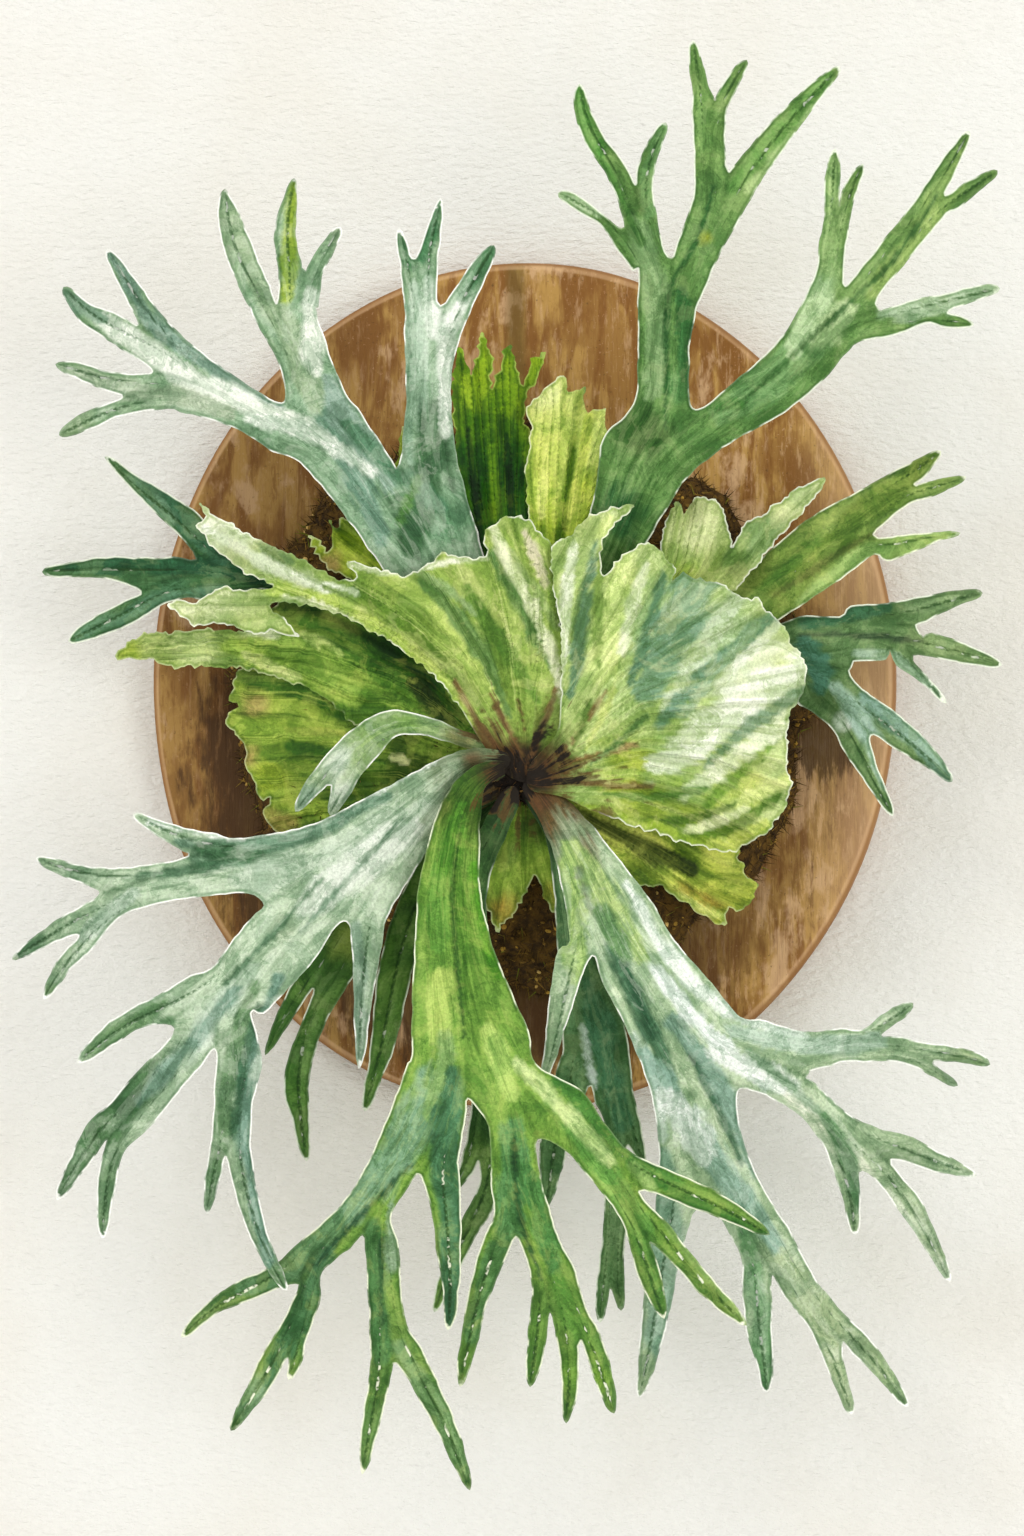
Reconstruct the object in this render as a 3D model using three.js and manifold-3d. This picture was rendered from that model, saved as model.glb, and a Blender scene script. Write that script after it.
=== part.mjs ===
// Staghorn fern grown on a mound of moss on an oval wooden plaque that hangs on a wall.
// Millimetres, +Z up. The origin is the middle of the plaque's flat back, which lies on the wall, and
// the front faces -Y. Every frond and shield is one thin blade of its own, rooted at the furry crown.
import * as THREE from "three";
import { mergeVertices } from "three/addons/utils/BufferGeometryUtils.js";
import Module from "manifold-3d";

const wasm = await Module();
wasm.setup();

// Plaque
const BOARD_WIDTH = 373;
const BOARD_HEIGHT = 425;
const BOARD_THICKNESS = 22;
const BOARD_ROUNDING = 5;
const BOARD_BACK_CHAMFER = 1.5;
const BOARD_SIDES = 60;
const BOARD_ROUNDING_STEPS = [30, 60, 90];

// Keyhole hanger let into the back
const HANGER_HEIGHT_ON_BOARD = 140;
const PLATE_WIDTH = 24;
const PLATE_LENGTH = 66;
const PLATE_THICKNESS = 2.5;
const PLATE_PLAY = 0.3;
const KEYHOLE_RADIUS = 5.5;
const KEYHOLE_SLOT_WIDTH = 5;
const KEYHOLE_SLOT_RISE = 10;
const KEYHOLE_DROP = 5;
const HEAD_ROOM_WIDTH = 16;
const HEAD_ROOM_HEIGHT = 30;
const HEAD_ROOM_DEPTH = 10;
const SCREW_OFFSET = 26;
const SCREW_RADIUS = 1.6;
const SCREW_HEAD_RADIUS = 3.4;
const SCREW_HEAD_DEPTH = 1.3;
const SCREW_LENGTH = 12;
const SCREW_SINK = 0.2;
const SCREW_SLOT_WIDTH = 0.9;
const SCREW_SLOT_DEPTH = 0.6;
const SHANK_START = 0.5;
const ROD_SIDES = 16;
const KEYHOLE_SIDES = 24;
const PAST_THE_FACE = 1;

// Moss mound and crown
const MOUND_X = -1;
const MOUND_Z = -12;
const MOUND_RADIUS = 143;
const MOUND_HEIGHT = 48;
const MOUND_RAGGED = 3.5;
const MOUND_LUMPS = 1.6;
const CROWN = new THREE.Vector2(0, -46);
const CROWN_HALF_WIDTH = 25;
const CROWN_HALF_HEIGHT = 16;
const CROWN_BACK = 60;
const CROWN_FRONT = 103;

// Blades
const SHIELD_THICKNESS = 1.6;
const FROND_THICKNESS = 1.5;
const SEAT_GAP = 0.35;
const FROND_SPAN = 13;
const SHIELD_MESH = 10;
const FROND_ARCH = 0.16;
const NOTCH_ROOM = 1.5;
const SLIM_ARM = 3.4;
const FROND_WAVE = 1.2;
const WAVE_ACROSS = 0.11;
const WAVE_UP = 0.09;
const VEIN_SOFTNESS = 1.5;
const VEIN_FALL = 3;
const FLUTTER_ACROSS = 0.13;
const FLUTTER_UP = 0.1;
const RIM_ROOM = 4;
const WELD = 1e-3;
const LEAF_ROUGHNESS = 0.6;

// The outlines below are drawn as they look from EYE, on the plane of the plaque's front face. A point
// of a blade moves from there along its line of sight until it is its own depth in front of the wall.
const EYE = new THREE.Vector3(250, -3200, -168);

function seen(x, z, depth) {
  const share = (depth - BOARD_THICKNESS) / (-EYE.y - BOARD_THICKNESS);
  return new THREE.Vector3(x + (EYE.x - x) * share, -depth, z + (EYE.z - z) * share);
}

// Smooth curve through [place, value] knots, level before the first and after the last.
function level(knots, place) {
  if (place <= knots[0][0]) return knots[0][1];
  const next = knots.findIndex((knot) => knot[0] > place);
  if (next < 0) return knots.at(-1)[1];
  const [p0, v0] = knots[next - 1];
  const [p1, v1] = knots[next];
  const slope = (index) => {
    const before = knots[Math.max(index - 1, 0)];
    const after = knots[Math.min(index + 1, knots.length - 1)];
    return (after[1] - before[1]) / (after[0] - before[0]);
  };
  const span = p1 - p0;
  const t = (place - p0) / span;
  return (
    v0 * (2 * t ** 3 - 3 * t ** 2 + 1) +
    slope(next - 1) * span * (t ** 3 - 2 * t ** 2 + t) +
    v1 * (3 * t ** 2 - 2 * t ** 3) +
    slope(next) * span * (t ** 3 - t ** 2)
  );
}

const isInside = (x, z, rim) => {
  let inside = false;
  rim.forEach((a, index) => {
    const b = rim[(index + 1) % rim.length];
    if (a.y > z !== b.y > z && x < ((b.x - a.x) * (z - a.y)) / (b.y - a.y) + a.x) inside = !inside;
  });
  return inside;
};

function distanceToRim(point, rim) {
  let nearest = Infinity;
  const edge = new THREE.Line3();
  const flat = new THREE.Vector3(point.x, point.y, 0);
  const foot = new THREE.Vector3();
  rim.forEach((a, index) => {
    const b = rim[(index + 1) % rim.length];
    edge.start.set(a.x, a.y, 0);
    edge.end.set(b.x, b.y, 0);
    nearest = Math.min(nearest, edge.closestPointToPoint(flat, true, foot).distanceTo(flat));
  });
  return nearest;
}

// A point inside is moved by a hair, so that it never lies on an edge between two others.
const HAIR = 0.01;

// Even triangles over a flat outline and the points inside it. The outline is cut into ears, each
// point inside splits the triangle around it, and then every edge with a point of its neighbour inside
// the triangle's circle is turned.
function triangulate(rim, inner) {
  const points = [...rim, ...inner.map(({ x, y }) => new THREE.Vector2(x + HAIR, y + HAIR / 3))];
  const turn = (a, b, c) =>
    (points[b].x - points[a].x) * (points[c].y - points[a].y) -
    (points[b].y - points[a].y) * (points[c].x - points[a].x);
  const faces = THREE.ShapeUtils.triangulateShape([...rim], []).map(([a, b, c]) =>
    turn(a, b, c) > 0 ? [a, b, c] : [a, c, b],
  );
  inner.forEach((_, order) => {
    const point = rim.length + order;
    const around = faces.findIndex(
      ([a, b, c]) => turn(a, b, point) > 0 && turn(b, c, point) > 0 && turn(c, a, point) > 0,
    );
    if (around < 0) throw new Error(`no triangle holds ${points[point].x}, ${points[point].y}`);
    const [a, b, c] = faces[around];
    faces[around] = [a, b, point];
    faces.push([b, c, point], [c, a, point]);
    turnEdges(points, faces, turn);
  });
  turnEdges(points, faces, turn);
  return { points, faces };
}

const FLATNESS = 1e-6;

function turnEdges(points, faces, turn) {
  const holds = (a, b, c, d) => {
    const [ax, ay, bx, by, cx, cy] = [a, b, c].flatMap((index) => [
      points[index].x - points[d].x,
      points[index].y - points[d].y,
    ]);
    const lift =
      (ax * ax + ay * ay) * (bx * cy - cx * by) -
      (bx * bx + by * by) * (ax * cy - cx * ay) +
      (cx * cx + cy * cy) * (ax * by - bx * ay);
    return lift > FLATNESS;
  };
  for (let turned = true; turned; ) {
    turned = false;
    const owners = new Map();
    faces.forEach((face, index) => {
      face.forEach((a, corner) => owners.set(a * points.length + face[(corner + 1) % 3], [index, corner]));
    });
    const busy = new Set();
    for (const [left, corner] of owners.values()) {
      const [a, b, c] = [0, 1, 2].map((step) => faces[left][(corner + step) % 3]);
      const across = owners.get(b * points.length + a);
      if (!across || a > b || busy.has(left) || busy.has(across[0])) continue;
      const d = faces[across[0]][(across[1] + 2) % 3];
      if (!holds(a, b, c, d) || turn(c, a, d) <= FLATNESS || turn(d, b, c) <= FLATNESS) continue;
      faces[left] = [c, a, d];
      faces[across[0]] = [d, b, c];
      busy.add(left).add(across[0]);
      turned = true;
    }
  }
}

// A solid from corner points and triangles, with shared corners.
function solid(corners, faces) {
  const mesh = new wasm.Mesh({
    numProp: 3,
    vertProperties: new Float32Array(corners.flatMap((corner) => [corner.x, corner.y, corner.z])),
    triVerts: new Uint32Array(faces.flat()),
  });
  return new wasm.Manifold(mesh);
}

const largestBody = (whole) =>
  whole.decompose().reduce((best, body) => (body.volume() > best.volume() ? body : best));

// One closed blade: its front follows depthAt and its back lies one thickness nearer the wall, with the
// same triangles on both faces.
function blade(rim, inner, depthAt, thickness) {
  const { points, faces } = triangulate(rim, inner);
  const front = points.map((point, index) => seen(point.x, point.y, depthAt(point, index)));
  const back = front.map((corner) => new THREE.Vector3(corner.x, corner.y + thickness, corner.z));
  const count = points.length;
  const skins = faces.flatMap(([a, b, c]) => [
    [a, b, c],
    [count + a, count + c, count + b],
  ]);
  const clockwise = THREE.ShapeUtils.isClockWise(rim);
  const walls = rim.flatMap((_, index) => {
    const next = (index + 1) % rim.length;
    const [a, b] = clockwise ? [next, index] : [index, next];
    return [
      [a, count + a, count + b],
      [a, count + b, b],
    ];
  });
  return solid([...front, ...back], [...skins, ...walls]);
}

// Rings of equal counts stacked from the back to the front and closed by a cap at each end.
function stack(rings) {
  const count = rings[0].length;
  const corners = rings.flat();
  const faces = [];
  for (let ring = 0; ring + 1 < rings.length; ring++) {
    for (let side = 0; side < count; side++) {
      const a = ring * count + side;
      const b = ring * count + ((side + 1) % count);
      faces.push([a, b, b + count], [a, b + count, a + count]);
    }
  }
  const flat = (ring) => ring.map((corner) => new THREE.Vector2(corner.x, corner.z));
  const last = (rings.length - 1) * count;
  THREE.ShapeUtils.triangulateShape(flat(rings[0]), []).forEach(([a, b, c]) => faces.push([a, c, b]));
  THREE.ShapeUtils.triangulateShape(flat(rings.at(-1)), []).forEach(([a, b, c]) =>
    faces.push([last + a, last + b, last + c]),
  );
  return solid(corners, faces);
}

function oval(halfWidth, halfHeight, y, sides, x = 0, z = 0, stretch = () => 1) {
  return Array.from({ length: sides }, (_, side) => {
    const angle = (2 * Math.PI * side) / sides;
    const reach = stretch(angle);
    return new THREE.Vector3(
      x + halfWidth * reach * Math.cos(angle),
      y,
      z + halfHeight * reach * Math.sin(angle),
    );
  });
}

// A three.js geometry as a solid, after its matrix places it.
function solidOf(geometry, matrix) {
  const placed = geometry.clone().applyMatrix4(matrix);
  placed.deleteAttribute("normal");
  placed.deleteAttribute("uv");
  const merged = mergeVertices(placed, WELD);
  return new wasm.Manifold(
    new wasm.Mesh({
      numProp: 3,
      vertProperties: new Float32Array(merged.attributes.position.array),
      triVerts: new Uint32Array(merged.index.array),
    }),
  );
}

const part = new THREE.Group();

function addNode(name, made, colour, roughness, metalness = 0) {
  const { vertProperties, triVerts } = made.getMesh();
  const geometry = new THREE.BufferGeometry();
  geometry.setAttribute("position", new THREE.BufferAttribute(new Float32Array(vertProperties), 3));
  geometry.setIndex(new THREE.BufferAttribute(new Uint32Array(triVerts), 1));
  geometry.computeVertexNormals();
  const material = new THREE.MeshStandardMaterial({ color: colour, roughness, metalness });
  const mesh = new THREE.Mesh(geometry, material);
  mesh.name = name;
  part.add(mesh);
}

// Board and hanger

const boardRing = (inset, y) => oval(BOARD_WIDTH / 2 - inset, BOARD_HEIGHT / 2 - inset, y, BOARD_SIDES);

function makeBoard() {
  const front = BOARD_ROUNDING_STEPS.map((degrees) => {
    const angle = THREE.MathUtils.degToRad(degrees);
    const inset = BOARD_ROUNDING * (1 - Math.cos(angle));
    return boardRing(inset, -(BOARD_THICKNESS - BOARD_ROUNDING * (1 - Math.sin(angle))));
  });
  return stack([
    boardRing(BOARD_BACK_CHAMFER, 0),
    boardRing(0, -BOARD_BACK_CHAMFER),
    boardRing(0, -(BOARD_THICKNESS - BOARD_ROUNDING)),
    ...front,
  ]);
}

// A box given by its middle across, its middle height and its reach from the wall.
function box(x, z, width, height, nearWall, farFromWall) {
  const geometry = new THREE.BoxGeometry(width, farFromWall - nearWall, height);
  const middle = -(nearWall + farFromWall) / 2;
  return solidOf(geometry, new THREE.Matrix4().makeTranslation(x, middle, z));
}

function rod(x, z, radius, nearWall, farFromWall, sides = ROD_SIDES) {
  const geometry = new THREE.CylinderGeometry(radius, radius, farFromWall - nearWall, sides);
  const middle = -(nearWall + farFromWall) / 2;
  return solidOf(geometry, new THREE.Matrix4().makeTranslation(x, middle, z));
}

const screwPlaces = [-SCREW_OFFSET, SCREW_OFFSET].map((offset) => HANGER_HEIGHT_ON_BOARD + offset);

function makeHangerPlate() {
  const z = HANGER_HEIGHT_ON_BOARD;
  const plate = box(0, z, PLATE_WIDTH, PLATE_LENGTH, 0, PLATE_THICKNESS);
  const through = PLATE_THICKNESS + PAST_THE_FACE;
  const hole = rod(0, z - KEYHOLE_DROP, KEYHOLE_RADIUS, -PAST_THE_FACE, through, KEYHOLE_SIDES);
  const slot = box(
    0,
    z - KEYHOLE_DROP + KEYHOLE_SLOT_RISE / 2,
    KEYHOLE_SLOT_WIDTH,
    KEYHOLE_SLOT_RISE,
    -PAST_THE_FACE,
    through,
  );
  return screwPlaces.reduce(
    (left, place) => left.subtract(screwRoom(place)),
    plate.subtract(hole).subtract(slot),
  );
}

function makeScrew(z) {
  const head = rod(0, z, SCREW_HEAD_RADIUS, SCREW_SINK, SCREW_SINK + SCREW_HEAD_DEPTH);
  const slotLength = 2 * (SCREW_HEAD_RADIUS + PAST_THE_FACE);
  const slot = box(0, z, slotLength, SCREW_SLOT_WIDTH, -PAST_THE_FACE, SCREW_SINK + SCREW_SLOT_DEPTH);
  return head.add(rod(0, z, SCREW_RADIUS, SCREW_SINK + SHANK_START, SCREW_LENGTH)).subtract(slot);
}

function screwRoom(z) {
  const headEnd = SCREW_SINK + SCREW_HEAD_DEPTH + PLATE_PLAY;
  const head = rod(0, z, SCREW_HEAD_RADIUS + PLATE_PLAY, -PAST_THE_FACE, headEnd);
  return head.add(rod(0, z, SCREW_RADIUS + PLATE_PLAY, 0, SCREW_LENGTH + PLATE_PLAY));
}

function hangerRoom() {
  const z = HANGER_HEIGHT_ON_BOARD;
  const bed = box(
    0,
    z,
    PLATE_WIDTH + 2 * PLATE_PLAY,
    PLATE_LENGTH + 2 * PLATE_PLAY,
    -PAST_THE_FACE,
    PLATE_THICKNESS + PLATE_PLAY,
  );
  const headRoom = box(0, z, HEAD_ROOM_WIDTH, HEAD_ROOM_HEIGHT, 0, HEAD_ROOM_DEPTH);
  return screwPlaces.reduce((room, place) => room.add(screwRoom(place)), bed.add(headRoom));
}

// Mound and crown

const MOUND_SIDES = 44;
const MOUND_RINGS = [1, 0.985, 0.94, 0.86, 0.74, 0.58, 0.4, 0.2];
const MOUND_RAGS = [
  { turns: 9, start: 0, share: 0.6 },
  { turns: 17, start: 1, share: 0.5 },
];
const LUMPS_ACROSS = 0.21;
const LUMPS_UP = 0.17;

function makeMound() {
  const ragged = (angle) =>
    MOUND_RAGS.reduce(
      (reach, { turns, start, share }) =>
        reach + (MOUND_RAGGED / MOUND_RADIUS) * share * Math.sin(turns * angle + start),
      1,
    );
  const rings = MOUND_RINGS.map((share, index) => {
    const height = MOUND_HEIGHT * Math.sqrt(1 - share * share);
    const ring = oval(
      MOUND_RADIUS * share,
      MOUND_RADIUS * share,
      -(BOARD_THICKNESS + SEAT_GAP + height),
      MOUND_SIDES,
      MOUND_X,
      MOUND_Z,
      ragged,
    );
    if (index > 0) {
      ring.forEach((corner) => {
        const lump = Math.sin(corner.x * LUMPS_ACROSS) * Math.cos(corner.z * LUMPS_UP);
        corner.y -= MOUND_LUMPS * (lump - 1);
      });
    }
    return ring;
  });
  return stack(rings);
}

const CROWN_RINGS = [8, 26, 46, 68, 90, 112, 134, 154, 172];
const CROWN_SIDES = 20;
const CROWN_FULLNESS = 0.7;
const CROWN_BUMPS = 5;
const CROWN_BUMP_SHARE = 0.05;
const CROWN_TWIST = 0.05;

function makeCrown(extra = 0) {
  const middle = (CROWN_BACK + CROWN_FRONT) / 2;
  const reach = (CROWN_FRONT - CROWN_BACK) / 2 + extra;
  const rings = CROWN_RINGS.map((degrees) => {
    const angle = THREE.MathUtils.degToRad(degrees);
    const share = Math.sin(angle) ** CROWN_FULLNESS;
    return oval(
      (CROWN_HALF_WIDTH + extra) * share,
      (CROWN_HALF_HEIGHT + extra) * share,
      -(middle - reach * Math.cos(angle)),
      CROWN_SIDES,
      CROWN.x,
      CROWN.y,
      (turn) => 1 + CROWN_BUMP_SHARE * Math.sin(CROWN_BUMPS * turn + degrees * CROWN_TWIST),
    );
  });
  return stack(rings);
}

const crownRoom = makeCrown(SEAT_GAP);

// Antler fronds

// An arm is a row of [x, z, half width] and then a tip [x, z] or a fork with its notch and two arms.
// Its curl is how far it lifts from the frond's own depth curve towards its end.
const arm = (way, end, curl = 0) => ({ way, end, curl });
const fork = (x, z, first, second) => ({ notch: [x, z], arms: [first, second] });

// Walks once round an arm and its forks, and keeps each rim point with its lift. The middles of the
// stations are kept too, and carry the arch of the blade. Beside a fork, the inner edges start past the
// notch and on their own side of it.
function walkArm({ way, end, curl }, start, rim, middles, parent) {
  const last = Array.isArray(end) ? end : end.notch;
  const places = way.map(([x, z]) => new THREE.Vector2(x, z));
  const goal = new THREE.Vector2(last[0], last[1]);
  const lengths = [0];
  places.slice(1).forEach((place, index) => lengths.push(lengths[index] + place.distanceTo(places[index])));
  const whole = lengths.at(-1) + places.at(-1).distanceTo(goal);
  const stations = places.map((place, index) => {
    const half = way[index][2];
    const isFork = !Array.isArray(end) && index > 0;
    const ahead = places[index + 1] ?? (isFork ? place : goal);
    const along = ahead.clone().sub(places[Math.max(index - 1, 0)]).normalize();
    return { place, half, along, lift: start + curl * (lengths[index] / whole) ** 2 };
  });
  const edge = (sign) => {
    const points = stations.map(({ place, half, along, lift }) => ({
      point: new THREE.Vector2(place.x - sign * along.y * half, place.y + sign * along.x * half),
      along,
      lift,
    }));
    if (!parent || parent.side === sign) return points;
    const isPast = ({ point, along }) => {
      const from = point.clone().sub(parent.notch);
      return along.dot(from) > NOTCH_ROOM && parent.side * parent.heading.cross(from) > 0;
    };
    const first = points.findIndex(isPast);
    return first < 0 ? [] : points.slice(first);
  };
  middles.push(...stations.map(({ place, lift, half }) => ({ point: place, lift, half })));
  rim.push(...edge(1));
  const tipLift = start + curl;
  if (Array.isArray(end)) {
    rim.push({ point: goal, lift: tipLift, sharp: true });
  } else {
    const heading = goal.clone().sub(places.at(-1)).normalize();
    const turn = ({ way: [[x, z]] }) => heading.cross(new THREE.Vector2(x, z).sub(places.at(-1)));
    const [left, right] = [...end.arms].sort((a, b) => turn(b) - turn(a));
    walkArm(left, tipLift, rim, middles, { notch: goal, heading, side: 1 });
    rim.push({ point: goal, lift: tipLift });
    walkArm(right, tipLift, rim, middles, { notch: goal, heading, side: -1 });
  }
  rim.push(...edge(-1).reverse());
}

// Adds points along the rim so that long stretches bend smoothly, and keeps the tips sharp.
function roundRim(rim, span) {
  return rim.flatMap((here, index) => {
    const next = rim[(index + 1) % rim.length];
    const before = here.sharp ? here : rim.at(index - 1);
    const after = next.sharp ? next : rim[(index + 2) % rim.length];
    const pieces = Math.max(1, Math.round(here.point.distanceTo(next.point) / span));
    return Array.from({ length: pieces }, (_, piece) => {
      const t = piece / pieces;
      if (piece === 0) return here;
      const bend = new THREE.SplineCurve([before.point, here.point, next.point, after.point]);
      return { point: bend.getPoint((1 + t) / 3), lift: here.lift + (next.lift - here.lift) * t };
    });
  });
}

function makeFrond({ trunk, rise, wave = FROND_WAVE }) {
  const rough = [];
  const middles = [];
  walkArm(trunk, 0, rough, middles);
  const rim = roundRim(rough, FROND_SPAN);
  const outline = rim.map(({ point }) => point);
  const inner = middles.filter(({ point, half }) => half > SLIM_ARM && isInside(point.x, point.y, outline));
  const depthAt = (point, index) => {
    const base = level(rise, point.distanceTo(CROWN));
    if (index < rim.length) {
      const ripple = Math.sin(point.x * WAVE_ACROSS + point.y * WAVE_UP);
      return base + rim[index].lift + wave * ripple;
    }
    const { lift, half } = inner[index - rim.length];
    return base + lift + FROND_ARCH * half;
  };
  const whole = blade(outline, inner.map(({ point }) => point), depthAt, FROND_THICKNESS);
  return largestBody(whole.subtract(crownRoom));
}

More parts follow.
